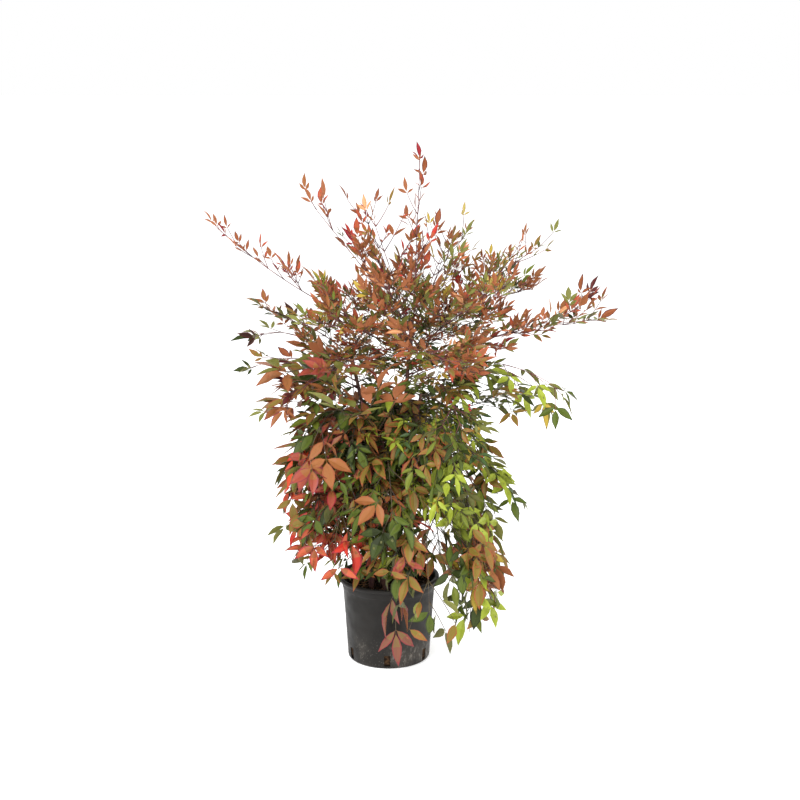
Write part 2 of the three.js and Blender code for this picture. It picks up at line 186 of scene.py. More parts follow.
# %% Filling a mesh
def build_piece(name, points, face_sets, looks, face_looks=None, sharp=None, angle=None):
    """A mesh object at the origin: points in millimetres, faces in sets of equal corner count.

    looks are its materials and face_looks the slot of each face. sharp(a, b) says from two arrays of
    point numbers which edges are creases; angle creases the edges that bend more than its degrees.
    """
    mesh = bpy.data.meshes.new(name)
    corners = np.concatenate([faces.ravel() for faces in face_sets]).astype(np.int32)
    counts = np.concatenate([np.full(len(faces), faces.shape[1]) for faces in face_sets])
    starts = np.concatenate([[0], np.cumsum(counts)[:-1]]).astype(np.int32)
    mesh.vertices.add(len(points))
    mesh.vertices.foreach_set("co", (points * MM).astype(np.float32).ravel())
    mesh.loops.add(len(corners))
    mesh.loops.foreach_set("vertex_index", corners)
    mesh.polygons.add(len(counts))
    mesh.polygons.foreach_set("loop_start", starts)
    for look in looks:
        mesh.materials.append(look)
    if face_looks is not None:
        mesh.polygons.foreach_set("material_index", face_looks.astype(np.int32))
    mesh.update(calc_edges=True)
    mesh.shade_smooth()
    if sharp is not None:
        ends = np.empty(len(mesh.edges) * 2, np.int32)
        mesh.edges.foreach_get("vertices", ends)
        mesh.edges.foreach_set("use_edge_sharp", sharp(*ends.reshape(-1, 2).T))
    if angle is not None:
        mesh.set_sharp_from_angle(angle=np.radians(angle))
    piece = bpy.data.objects.new(name, mesh)
    bpy.context.scene.collection.objects.link(piece)
    return piece


def build_rings(name, grids, looks, **more):
    """A piece from grids of rings, each of them (rows, rings, corners, 3)."""
    faces, first = [], 0
    for grid in grids:
        faces += [part + first for part in ring_faces(*grid.shape[:3])]
        first += grid[..., 0].size
    points = np.concatenate([grid.reshape(-1, 3) for grid in grids])
    return build_piece(name, points, faces, looks, **more)


def triangles(piece):
    """How many triangles a piece has."""
    piece.data.calc_loop_triangles()
    return len(piece.data.loop_triangles)


# %% Carrying a ring along lines
SLANT = unit(np.array([0.31, 0.17, 0.94]))
WALK_STEP = 0.02  # of a line's length: a heading is read from that far before a point to that far after


def tubes(lines, radii, sides):
    """Round tubes along many lines: point = line + radius (side cos t + through sin t).

    lines is (rows, rings, 3), radii (rows, rings). side is square to the line and to a slanted
    reference, and through is square to both.
    """
    way = unit(np.gradient(lines, axis=1))
    side = unit(np.cross(SLANT, way))
    through = np.cross(way, side)
    turn = turns(sides)
    around = side[:, :, None] * np.cos(turn)[:, None] + through[:, :, None] * np.sin(turn)[:, None]
    return lines[:, :, None] + around * radii[:, :, None, None]


def bezier(start, bend, end, shares):
    """(1-t)^2 start + 2t(1-t) bend + t^2 end."""
    t = shares[:, None]
    return (1 - t) ** 2 * start + 2 * t * (1 - t) * bend + t**2 * end


def walk(line, shares):
    """Points and headings at shares of a line's length, measured along it."""
    steps = np.linalg.norm(np.diff(line, axis=0), axis=1)
    along = np.concatenate([[0], np.cumsum(steps)]) / steps.sum()

    def at(where):
        """The point at each share, by straight lines between the given points."""
        where = np.clip(where, 0, 1)
        return np.stack([np.interp(where, along, line[:, k]) for k in range(3)], axis=-1)

    return at(shares), unit(at(shares + WALK_STEP) - at(shares - WALK_STEP))


print("tools ready")

# %% [markdown]
# ## Finishes
# A finish is a small tree of shader nodes. Patterns that break up a surface, such as dust on the pot
# or furrows in bark, come from noise read at Object coordinates, so they stay on the piece from every
# side. Leaf colours are another matter: a plant has a few dozen clear tints, and a leaflet has one of
# them, so its colours are plain ones and the relief of the blade comes from a bump.


# %% Node helpers
def paint(code):
    """A colour code such as b26c3e as linear light: ((c + 0.055) / 1.055) ^ 2.4 for each channel."""
    channels = np.array([int(code[i : i + 2], 16) / 255 for i in (0, 2, 4)])
    linear = np.where(channels <= 0.04045, channels / 12.92, ((channels + 0.055) / 1.055) ** 2.4)
    return (*linear, 1)


class Finish:
    """A new material with its Principled shader, and shorthands that add and join nodes."""

    def __init__(self, name, color, roughness, specular=0.5):
        self.material = bpy.data.materials.new(name)
        self.material.use_nodes = True
        self.tree = self.material.node_tree
        self.shader = self.tree.nodes["Principled BSDF"]
        self.material.diffuse_color = paint(color)
        self.shader.inputs["Base Color"].default_value = paint(color)
        self.shader.inputs["Roughness"].default_value = roughness
        self.shader.inputs["Specular IOR Level"].default_value = specular

    def node(self, kind, **settings):
        """A node of a kind; settings named after its inputs, or after its own properties."""
        made = self.tree.nodes.new("ShaderNode" + kind)
        for key, value in settings.items():
            if hasattr(made, key):
                setattr(made, key, value)
            else:
                made.inputs[key.replace("_", " ")].default_value = value
        return made

    def join(self, output, socket):
        """A link from an output to an input."""
        self.tree.links.new(output, socket)

    def stretched(self, scale):
        """Object coordinates, stretched by a scale along each axis."""
        place = self.node("TexCoord")
        mapping = self.node("Mapping", Scale=scale)
        self.join(place.outputs["Object"], mapping.inputs["Vector"])
        return mapping.outputs["Vector"]

    def noise(self, scale, detail=4, stretch=(1, 1, 1)):
        """A noise of so many patches to the metre, from 0 to 1."""
        made = self.node("TexNoise", Scale=scale, Detail=detail)
        self.join(self.stretched(stretch), made.inputs["Vector"])
        return made.outputs["Fac"]

    def range(self, value, low, high, to_low=0, to_high=1):
        """A value spread smoothly from low..high to to_low..to_high, and held at the ends."""
        made = self.node("MapRange", interpolation_type="SMOOTHSTEP")
        ends = {"From Min": low, "From Max": high, "To Min": to_low, "To Max": to_high}
        for key, number in ends.items():
            made.inputs[key].default_value = number
        self.join(value, made.inputs["Value"])
        return made.outputs["Result"]

    def times(self, a, b):
        """a * b."""
        made = self.node("Math", operation="MULTIPLY")
        self.join(a, made.inputs[0])
        self.join(b, made.inputs[1])
        return made.outputs[0]

    def mixed(self, amount, under, over):
        """Colour under, with colour over laid on it by the amount. Either may be a code or an output.

        Sockets 6, 7 and 2 are the node's own A, B and Result for colours.
        """
        made = self.node("Mix", data_type="RGBA")
        self.join(amount, made.inputs["Factor"])
        for socket, color in ((made.inputs[6], under), (made.inputs[7], over)):
            if isinstance(color, str):
                socket.default_value = paint(color)
            else:
                self.join(color, socket)
        return made.outputs[2]

    def color(self, output):
        """The shader's colour comes from an output."""
        self.join(output, self.shader.inputs["Base Color"])

    def roughness(self, output):
        """The shader's roughness comes from an output."""
        self.join(output, self.shader.inputs["Roughness"])

    def bump(self, height, strength, depth):
        """Relief of a depth in millimetres."""
        made = self.node("Bump", Strength=strength, Distance=depth * MM)
        self.join(height, made.inputs["Height"])
        self.join(made.outputs["Normal"], self.shader.inputs["Normal"])


print("finishes use", Finish.__name__)

# %% [markdown]
# ## The pot
# A nursery pot is blown from soft black plastic: thin wall, a slight taper, a rolled lip over a shallow
# collar, a rounded foot and tall drain slots round it. A lathe profile gives the whole wall, inside and
# out, as one closed surface. The slots are cut by a boolean, because their square corners would need a
# very fine grid to be pushed in.

# %% The pot's wall
POT_HEIGHT = 235
POT_PROFILE = [  # radius and height: under the foot, up the outside, over the lip and down the inside
    (20, 1.6), (62, 1.6), (66, 0), (104, 0), (107.6, 0.6), (110.6, 2.4), (112.4, 5), (113.2, 8.4),
    (116.4, 60), (120.2, 120), (124.4, 178), (126.2, 203), (127.9, 205.5), (129.2, 224.2),
    (133.5, 223.6), (137, 224.3), (138.8, 226.6), (139.2, 229.5), (138.4, 232.6), (136, 234.6),
    (132.5, 235), (128.8, 234), (127.2, 231), (126.9, 224), (125.6, 206), (124, 202), (122.2, 178),
    (118, 120), (114.2, 60), (110.9, 12), (108.6, 6), (104, 3.6), (20, 3.6),
]
POT_CREASE = 40  # degrees
LATHE_SIDES = 128


def lathe(profile, sides):
    """Each profile point (r, z) at every turn t: (r cos t, r sin t, z)."""
    radius, height = np.array(profile, float).T
    turn = turns(sides)
    x = radius[:, None] * np.cos(turn)
    y = radius[:, None] * np.sin(turn)
    z = np.broadcast_to(height[:, None], x.shape)
    return np.stack([x, y, z], axis=-1)


def eased(profile, parts):
    """More points on each straight stretch of a profile, so that long faces don't shade unevenly."""
    points = np.array(profile, float)
    share = np.arange(parts)[:, None] / parts
    body = points[:-1, None] + (points[1:] - points[:-1])[:, None] * share
    return np.concatenate([body.reshape(-1, 2), points[-1:]])


pot_rings = lathe(eased(POT_PROFILE, 2), LATHE_SIDES)
pot = build_rings("nursery_pot", [pot_rings[None]], [], angle=POT_CREASE)
print("pot wall", triangles(pot), "triangles")

# %% The drain slots
SLOT_COUNT = 6
SLOT_TURN = -2  # degrees off the middle of the front
SLOT_SIZE = (17, 32)  # across and high
SLOT_LOW = 8
SLOT_CORNER = 1.6
CORNER_POINTS = 4
SLOT_DEPTHS = np.array([96.0, 130.0])  # the cutter's ends, inside the wall and outside it


def rounded_oblong(width, height, corner, steps):
    """A rectangle's outline with quarter circles at its corners, anticlockwise."""
    turn = np.radians(np.linspace(0, 90, steps))
    quarters = [turn + quarter * np.pi / 2 for quarter in range(4)]
    angles = np.concatenate(quarters)
    across = (width / 2 - corner) * np.repeat([1, -1, -1, 1], steps)
    upright = (height / 2 - corner) * np.repeat([1, 1, -1, -1], steps)
    return np.stack([across + corner * np.cos(angles), upright + corner * np.sin(angles)], axis=-1)


outline = rounded_oblong(*SLOT_SIZE, SLOT_CORNER, CORNER_POINTS)
heading = np.radians(270 + SLOT_TURN + 360 / SLOT_COUNT * np.arange(SLOT_COUNT))
outward = np.stack([np.cos(heading), np.sin(heading), 0 * heading], axis=-1)
beside = np.stack([-np.sin(heading), np.cos(heading), 0 * heading], axis=-1)
slot_points = (
    outward[:, None, None] * SLOT_DEPTHS[:, None, None]
    + beside[:, None, None] * outline[:, 0][:, None]
    + UP * (outline[:, 1] + SLOT_LOW + SLOT_SIZE[1] / 2)[:, None]
)
cutter = build_rings("slot_cutter", [slot_points], [])
cut = pot.modifiers.new("slots", "BOOLEAN")
cut.operation = "DIFFERENCE"
cut.solver = "EXACT"
cut.object = cutter
cut_mesh = bpy.data.meshes.new_from_object(pot.evaluated_get(bpy.context.evaluated_depsgraph_get()))
pot.modifiers.clear()
pot.data = cut_mesh
bpy.data.objects.remove(cutter)
pot.data.shade_smooth()
pot.data.set_sharp_from_angle(angle=np.radians(POT_CREASE))
print("pot with slots", triangles(pot), "triangles")

# %% [markdown]
# The plastic is charcoal rather than black, with a soft sheen. Splashes of dried soil leave pale dust
# low on the wall, stretched downwards where water ran. Two noises give it: one broad, for where the
# dust is, and one fine and stretched along Z, for its streaks.

# %% The pot's plastic
DUST_HEIGHTS = (0.01, 0.125)  # metres, between which the dust fades out
DUST = "6f6a63"
plastic = Finish("charcoal_plastic", "1d1a18", 0.5, 0.2)
height_of = plastic.node("SeparateXYZ")
plastic.join(plastic.stretched((1, 1, 1)), height_of.inputs[0])
low_down = plastic.range(height_of.outputs["Z"], *DUST_HEIGHTS, 1, 0)
streaks = plastic.range(plastic.noise(170, 8, (1, 1, 0.45)), 0.45, 0.72)
blotches = plastic.range(plastic.noise(11, 3), 0.42, 0.62)
specks = plastic.range(plastic.noise(240, 2), 0.62, 0.74, 0, 0.6)
tone = plastic.mixed(plastic.range(plastic.noise(7, 4, (1, 1, 0.5)), 0.35, 0.7), "171513", "24211e")
haze = plastic.times(blotches, low_down)
tone = plastic.mixed(plastic.range(haze, 0, 1.6, 0, 0.5), tone, "544e47")
dust = plastic.times(plastic.times(streaks, blotches), low_down)
tone = plastic.mixed(plastic.range(dust, 0, 1, 0, 0.6), tone, DUST)
tone = plastic.mixed(plastic.times(specks, low_down), tone, DUST)
plastic.color(tone)
plastic.roughness(plastic.range(plastic.noise(30, 5), 0.3, 0.7, 0.42, 0.62))
plastic.bump(plastic.noise(260, 3), 0.25, 0.25)
pot.data.materials.clear()
pot.data.materials.append(plastic.material)
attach(pot, "root")
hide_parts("pot")
print("pot finished")

# %% [markdown]
# ## The soil
# Potting soil is crumbly: a dark, uneven bed with bits of bark in it. A heap of round bumps over a
# polar grid gives the bed, and a few hundred thin chips lie on it. A bump in the material alone would
# look flat from above, where the bed shows inside the lip.

# %% The bed
SOIL_TOP = 204
SOIL_BED = SOIL_TOP - 6  # the bed without its lumps
SOIL_SIDES = 110
SOIL_RINGS = 44
SOIL_RADIUS = 122.5
SOIL_WALL = [(60, 4.4), (98, 4.4), (107, 7), (109.6, 14), (111.6, 30), (113.4, 55), (121, 170), (123, 194)]
SOIL_DISH = 2 / 120  # how much the bed sinks for each millimetre out from the middle
LUMPS = dict(count=420, reach=7, height=4.2)
LUMP_LIMIT = 10
LUMP_FIELD = 125  # half the side of the square that they are dealt over
soil_random = np.random.default_rng(7)


def lumps(x, y, count, reach, height):
    """Sum of round bumps: height * exp(-(distance / reach)^2) for each of count places."""
    places = either_way(soil_random, LUMP_FIELD, (count, 2))
    tall = soil_random.uniform(0.3, 1, count) * height
    away = (x[..., None] - places[:, 0]) ** 2 + (y[..., None] - places[:, 1]) ** 2
    return (tall * np.exp(-away / reach**2)).sum(-1)


def soil_rings(sides):
    """The bed's rings from its foot, up beside the wall, and in to the middle."""
    radius = np.linspace(SOIL_RADIUS, 2, SOIL_RINGS)
    rings = lathe(SOIL_WALL + [(r, SOIL_BED) for r in radius], sides)
    top = rings[len(SOIL_WALL) :]
    rough = lumps(top[..., 0], top[..., 1], **LUMPS)
    top[..., 2] += np.clip(rough, 0, LUMP_LIMIT) - SOIL_DISH * np.hypot(top[..., 0], top[..., 1])
    return rings


bed_rings = soil_rings(SOIL_SIDES)
loam = Finish("potting_soil", "241a14", 0.95, 0.1)
crumbs = loam.noise(120, 8)
loam.color(loam.mixed(loam.range(crumbs, 0.35, 0.7), "150f0b", "43301f"))
loam.bump(crumbs, 0.8, 2)
bed = build_rings("soil_bed", [bed_rings[None]], [loam.material])
print("soil bed", triangles(bed), "triangles")

# %% Bark chips on the bed
CHIPS = 260
CHIP_REACH = 112
CHIP_LEVEL = SOIL_TOP - 1.5
CHIP_CREASE = 30  # degrees
CHIP_RINGS = ((-1, 0.55), (-0.2, 1), (0.4, 0.9), (1, 0.35))  # place along the chip, and size


def scattered_chips(count):
    """Lozenges with a wide and a narrow end: four rings of four corners, thrown flat on the bed."""
    reach = CHIP_REACH * np.sqrt(soil_random.uniform(0.02, 1, count))
    turn = soil_random.uniform(0, 2 * np.pi, count)
    middle = np.stack([reach * np.cos(turn), reach * np.sin(turn), np.full(count, CHIP_LEVEL)], -1)
    way = unit(np.stack([soil_random.normal(0, spread, count) for spread in (1, 1, 0.25)], -1))
    side = level_side(way)
    through = np.cross(way, side)
    long = soil_random.uniform(3, 8, count)[:, None]
    wide = soil_random.uniform(1.4, 3.4, count)[:, None]
    thick = soil_random.uniform(0.5, 1.3, count)[:, None]
    rings = []
    for end, size in CHIP_RINGS:
        centre = middle + way * long * end
        corners = [side * wide * size, through * thick, -side * wide * size, -through * thick]
        rings.append(np.stack([centre + corner for corner in corners], axis=1))
    return np.stack(rings, axis=1)


chips = scattered_chips(CHIPS)
bark_chip = Finish("bark_chip", "4d3524", 0.85, 0.3)
bark_chip.color(bark_chip.mixed(bark_chip.range(bark_chip.noise(40, 3), 0.4, 0.6), "34241a", "7a5a3c"))
bark_chip.bump(bark_chip.noise(300, 4), 0.5, 0.6)
mulch = build_rings("soil_chips", [chips], [bark_chip.material], angle=CHIP_CREASE)
for piece in (bed, mulch):
    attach(piece, "root")
    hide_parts("soil")
print("chips", triangles(mulch), "triangles")

# %% [markdown]
# ## The canes
# Each cane is a quadratic curve from its foot in the soil, upright at first, to its leaning top. Two
# tall canes carry the crown; a ring of six short ones carries the skirt. They could be copied from the
# CAD model's meshes, but the curves that it was made from are a few numbers each, and everything that
# grows on them then stays where its plain solid was.

# %% The tall canes and their sprays
GAP = 0.3  # from a cane or a stem to what carries it, as in the CAD model


def spray(heading, reach, height, arch, leaflet, tint, **more):
    """A spray that ends at a height, out along a heading by its reach, after rising in an arch.

    leaflet is the length of the plain solid's leaflets. More may be: spread, how long its side twigs
    are, lush, how many leaflets they bear, and step, how far apart they stand.
    """
    return dict(heading=heading, reach=reach, height=height, arch=arch, leaflet=leaflet, tint=tint, **more)


SPARSE = dict(lush=0.5, step=62)  # the high ones, through which the sky shows
LOW_AND_BRIGHT = dict(kind="skirt", hang=0.75, spread=0.6, lush=0.5, step=70)  # they hang like the skirt's
TALL_CANES = [
    dict(
        name="cane_tall_right",
        foot=(26, 6),
        top=(64, 0, 946),
        radii=(8, 4.6),
        whorl=(0.985, 0.72),
        sprays=[
            spray(330, 22, 1345, 40, 72, "blush", spread=0.68, lush=0.5),
            spray(172, 255, 1235, 0, 76, "ember", spread=0.9, **SPARSE),
            spray(212, 125, 1195, 10, 74, "ember", **SPARSE),
            spray(120, 225, 1170, 20, 76, "ember", **SPARSE),
            spray(12, 130, 1145, 60, 74, "gilt", **SPARSE),
            spray(184, 505, 1195, -70, 60, "blush", spread=0.5, lush=0.6),
            spray(68, 280, 1110, 40, 66, "gilt", lush=0.5),
            spray(256, 235, 1060, 50, 78, "copper", lush=1.2),
            spray(19, 335, 1105, 20, 66, "gilt", lush=0.8),
            spray(320, 280, 1030, 40, 72, "gilt", lush=1.3),
            spray(228, 310, 970, 50, 78, "autumn", lush=1.2),
            spray(36, 375, 985, 60, 72, "copper", lush=1.35),
            spray(356, 480, 950, 45, 76, "ember", spread=0.9, lush=1.1),
            spray(286, 320, 890, 80, 84, "autumn", lush=1.3),
            spray(338, 400, 805, 95, 104, "pale_lime", **LOW_AND_BRIGHT),
            spray(6, 345, 755, 110, 108, "pale_lime", **LOW_AND_BRIGHT),
            spray(302, 235, 740, 110, 96, "green", lush=1.3),
        ],
    ),
    dict(
        name="cane_tall_left",
        foot=(-14, -6),
        top=(-106, 20, 862),
        radii=(7.5, 4.4),
        whorl=(0.985, 0.8),
        sprays=[
            spray(176, 210, 965, 25, 70, "plum", spread=0.8, lush=0.6),
            spray(96, 240, 960, 40, 82, "autumn", lush=1.4),
            spray(262, 240, 860, 50, 92, "bronze", lush=1.5),
            spray(150, 290, 880, 70, 82, "plum", spread=0.85, lush=0.35),
            spray(189, 260, 830, 70, 80, "plum", spread=0.8, lush=0.3),
            spray(225, 240, 765, 90, 88, "shoulder", lush=1.5),
        ],
    ),
]
BERRY_SPRAY = spray(313, 230, 752, 45, 60, "berries", attach=0.62)
print("crown sprays", [len(cane["sprays"]) for cane in TALL_CANES])

# %% The short canes and the skirt
SHORT_FOOT = 50  # from the pot's middle
SHORT_LEAN = 60  # from foot to top, outwards
SHORT_FIRST = 262
SHORT_TURN = 60
SHORT_HEIGHTS = [640, 760, 600, 720, 620, 740]
SHORT_RADII = (6.5, 4.2)
SKIRT_SPRAYS = 24
SKIRT_FIRST = 62
GOLDEN_TURN = 137.5  # degrees from one spray to the next, so that no two hang in line
BRIGHT_SIDE = 10  # the heading where the skirt is greenest, and hangs widest and lowest
SKIRT_REACH = (278, 22)  # of its ends, and what the bright side adds
SKIRT_TOP = 850  # height of the first end
SKIRT_FOOT = (205, 115)  # height of the last end, and what the bright side takes away
SKIRT_LEAFLETS = (108, 122)
FRONT_SPRAY = dict(attach=0.52, arch=330, middle=0.95, leaflet=100, spread=0.32, tint="front", bare=0.7)
FRONT_END = (277, 163, 128)  # heading, reach and height
SKIRT_LEVELS = [250, 410, 610]  # heights where one tint gives way to the next
SKIRT_TINTS = [  # headings from and to, and the tints from foot to top
    (150, 205, ("scarlet", "scarlet", "scarlet", "bronze")),
    (205, 250, ("mixed", "mixed", "rosewood", "bronze")),
    # low in front of the pot the dusk family is darker, as painted shade
    (250, 300, ("dusk", "dusk", "dome", "bronze")),
    (300, 390, ("verdant", "rosy", "lime", "green")),
    (30, 150, ("green", "green", "bronze", "green")),
]


def heading_vector(degrees):
    """(cos, sin, 0) of a heading."""
    return np.array([np.cos(np.radians(degrees)), np.sin(np.radians(degrees)), 0.0])


def skirt_tint(heading, height):
    """The tint of a heading's sector at a height."""
    for low, high, tints in SKIRT_TINTS:
        if low <= heading % 360 < high or low <= heading % 360 + 360 < high:
            return tints[int(np.searchsorted(SKIRT_LEVELS, height))]


def short_canes():
    """Six canes in a ring, each leaning outwards, with the skirt's sprays dealt to the nearest.

    A spray leaves its cane a tenth lower than the one before, and arches by 60 + 0.45 of its fall.
    """
    canes = []
    for i, height in enumerate(SHORT_HEIGHTS):
        way = heading_vector(SHORT_FIRST + SHORT_TURN * i)
        top = way * (SHORT_FOOT + SHORT_LEAN) + UP * height
        foot = way[:2] * SHORT_FOOT
        canes.append(dict(name=f"cane_short_{i + 1}", foot=foot, top=top, radii=SHORT_RADII, sprays=[]))
    for i in range(SKIRT_SPRAYS):
        heading = SKIRT_FIRST + GOLDEN_TURN * i
        share = i / (SKIRT_SPRAYS - 1)
        bright = np.cos(np.radians(heading - BRIGHT_SIDE))
        end = heading_vector(heading) * (SKIRT_REACH[0] + SKIRT_REACH[1] * bright)
        end[2] = lerp(SKIRT_TOP, SKIRT_FOOT[0] - SKIRT_FOOT[1] * bright, share)
        free = [cane for cane in canes if len(cane["sprays"]) < SKIRT_SPRAYS / len(canes)]
        cane = min(free, key=lambda cane: np.hypot(*(cane["top"][:2] - end[:2])))
        fall = max(0, cane["top"][2] - end[2])
        cane["sprays"].append(
            dict(
                attach=0.985 - 0.1 * len(cane["sprays"]),
                end=end,
                arch=60 + 0.45 * fall,
                leaflet=lerp(*SKIRT_LEAFLETS, share),
                heading=heading,
                tint=skirt_tint(heading, end[2]),
                lush=0.7,
            )
        )
    heading, reach, height = FRONT_END
    canes[0]["sprays"].append(dict(FRONT_SPRAY, end=heading_vector(heading) * reach + UP * height))
    return canes


print("skirt sprays", SKIRT_SPRAYS + 1)

# %% Curves of the canes and their sprays
SAMPLES = np.linspace(0, 1, 91)
STEM_BEND = 0.54  # where a spray's stem turns down, as a share of its way out


def cane_curve(cane, shares):
    """A quadratic curve: its bend is half way up, a quarter of the way over to the top."""
    foot = np.array([*cane["foot"], SOIL_TOP + GAP])
    top = np.array(cane["top"], float)
    bend = lerp(np.array([foot[0], foot[1], (foot[2] + top[2]) / 2]), top, 0.25)
    return bezier(foot, bend, top, np.atleast_1d(shares))


def cane_radius(cane, share):
    """A straight taper, times 1 + 0.35 exp(-share / 0.05) for the swollen foot."""
    return lerp(cane["radii"][0], cane["radii"][1], share) * (1 + 0.35 * np.exp(-share / 0.05))


def all_canes():
    """Every cane with its sprays' ends. The tall canes' sprays leave a step lower each."""
    for cane in TALL_CANES:
        for i, member in enumerate(cane["sprays"]):
            member["attach"] = lerp(*cane["whorl"], i / (len(cane["sprays"]) - 1))
    TALL_CANES[0]["sprays"].append(BERRY_SPRAY)
    for cane in TALL_CANES:
        for member in cane["sprays"]:
            root = cane_curve(cane, member["attach"])[0]
            member["end"] = root + heading_vector(member["heading"]) * member["reach"]
            member["end"][2] = member["height"]
    return TALL_CANES + short_canes()


def stem_curve(cane, member, turn):
    """A spray's stem: out of the cane's side, then a quadratic curve that arches to its end."""
    centre = cane_curve(cane, member["attach"])[0]
    reach = rolled(member["end"] - centre, UP, np.array(turn))
    way = unit(reach * (1, 1, 0))
    start = centre + way * (cane_radius(cane, member["attach"]) + GAP)
    tip = centre + reach
    bend = lerp(start, tip, member.get("middle", STEM_BEND)) + UP * member["arch"]
    return way, bezier(start, bend, tip, SAMPLES)


def nearest(points, others):
    """Distance from each point to the nearest of the others."""
    return np.linalg.norm(points[:, None] - others, axis=-1).min(1)


print("points on a curve", len(SAMPLES))

# %% Stems that keep clear of each other
LIP_RADIUS = 139
TURN_TRIES = 40
TURN_STEP = 4  # degrees
AT_ITS_FOOT = 9  # of a stem's first points, too near its own cane to count
CLEAR_OF_CANES = 5
CLEAR_OF_POT = 4
CLEAR_OF_STEMS = 6.5


def is_clear(line, cane, canes, stems):
    """True if a line keeps its distance from every cane, from the pot and from the stems so far."""
    for other in canes:
        part = line[AT_ITS_FOOT if other is cane else 0 :]
        if (nearest(part, other["line"]) - cane_radius(other, 0.5)).min() <= CLEAR_OF_CANES:
            return False
    outside = np.maximum(np.hypot(line[:, 0], line[:, 1]) - LIP_RADIUS, line[:, 2] - POT_HEIGHT)
    if outside.min() <= CLEAR_OF_POT:
        return False
    return all(nearest(line, stem["line"]).min() > CLEAR_OF_STEMS for stem in stems)


def all_stems(canes):
    """Turns each stem about its cane, a little more to each side in turn, until it is clear."""
    stems = []
    for cane in canes:
        cane["line"] = cane_curve(cane, SAMPLES)
    for cane in canes:
        for member in cane["sprays"]:
            for tries in range(TURN_TRIES):
                turn = TURN_STEP * ((tries + 1) // 2) * (1 if tries % 2 else -1)
                way, line = stem_curve(cane, member, turn)
                if is_clear(line, cane, canes, stems):
                    stems.append(dict(member, cane=cane, way=way, line=line, turn=turn))
                    break
    return stems


canes = all_canes()
stems = all_stems(canes)
print("stems", len(stems), "turned", [(s["cane"]["name"], s["turn"]) for s in stems if s["turn"]])

# %% [markdown]
# ## Bark on the canes
# A young cane is purple-brown and ringed where old leaves clasped it: the bark swells at each ring and
# narrows above. Fine furrows run up it. The rings and the furrows are in the mesh, because they show
# in outline; the grain between them is a bump.

# %% Cane meshes
CANE_SIDES = 18
CANE_STATIONS = 150
RING_STEP = 38  # mm between old leaf rings


def ringed_cane(cane, seed):
    """Radius x (1 + ring + furrow): rings as steep saw teeth up the cane, furrows as waves round it."""
    shares = np.linspace(0, 1, CANE_STATIONS)
    line = cane_curve(cane, shares)
    height = np.linalg.norm(line - line[0], axis=1)
    rhythm = height / RING_STEP + 0.35 * np.sin(height / 61 + seed)
    tooth = rhythm % 1
    ring = 0.17 * np.exp(-tooth / 0.16) - 0.05 * np.exp(-((tooth - 1) ** 2) / 0.004)
    radius = cane_radius(cane, shares) * (0.93 + ring)
    rows = tubes(line[None], radius[None], CANE_SIDES)[0]
    turn = turns(CANE_SIDES)
    furrow = 0.035 * np.sin(5 * turn + seed + height[:, None] / 90) + 0.025 * np.sin(9 * turn + 2 * seed)
    rows = line[:, None] + (rows - line[:, None]) * (1 + furrow)[..., None]
    rows[0, :, 2] = SOIL_BED
    return rows


bark = Finish("cane_bark", "4a322c", 0.7, 0.35)
grain = bark.noise(90, 6, (1, 1, 0.18))
bark_tone = bark.mixed(bark.range(grain, 0.3, 0.7), "33201e", "6a4a3e")
bark_tone = bark.mixed(bark.range(bark.noise(14, 3), 0.45, 0.7, 0, 0.6), bark_tone, "59343a")
bark.color(bark_tone)
bark.bump(grain, 0.6, 1)
for seed, cane in enumerate(canes):
    rings = ringed_cane(cane, seed)
    piece = build_rings(cane["name"].replace("cane", "bark"), [rings[None]], [bark.material])
    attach(piece, "root")
    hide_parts(cane["name"])
print("canes", len(canes))

# %% [markdown]
# ## Inner shoots
# Behind the long sprays, short leafy shoots hide the canes. They are placed by the same golden turn,
# one to four centimetres apart up each cane, and grow by the same rule as the long ones.

# %% Short shoots along the canes
SHOOT_FIRST = 67  # degrees from one cane's first shoot to the next cane's
SHOOT_LOWEST = 330
SHOOT_LOWEST_BRIGHT = 500  # on the bright side, where the skirt stands off the pot
BRIGHT, SHADED = 0.3, -0.8  # how far towards +X a heading is, past which it is on that side
SHOOT_LEVEL = 600  # above which the shoots stand closer
SHOOT_STEP = ((20, 37), (12.5, 28))  # on tall and on short canes, below that level and above it
UNDER_TOP = 15
SHOULDER, CROWN = 520, 780  # heights where the shoots' tints change
SHOOT_KINDS = [  # height up to which, least and greatest reach, and rise, and leaflet
    (780, (105, 205), (-80, 10), (64, 80)),
    (1000, (130, 230), (0, 110), (54, 68)),
]
SHOOT_ARCH = 30
SHOOT_TINTS = [  # headings from and to, and the tints under the shoulder, on it and in the crown
    (150, 225, ("scarlet", "bronze", "ember")),
    # under the shoulder in front the dusk family is darker, as painted shade
    (225, 280, ("dusk", "dome", "autumn")),
    (280, 400, ("rosy", "lime", "gilt")),
    # the inner family: green, and darker as painted shade
    (40, 150, ("inner", "green", "autumn")),
]


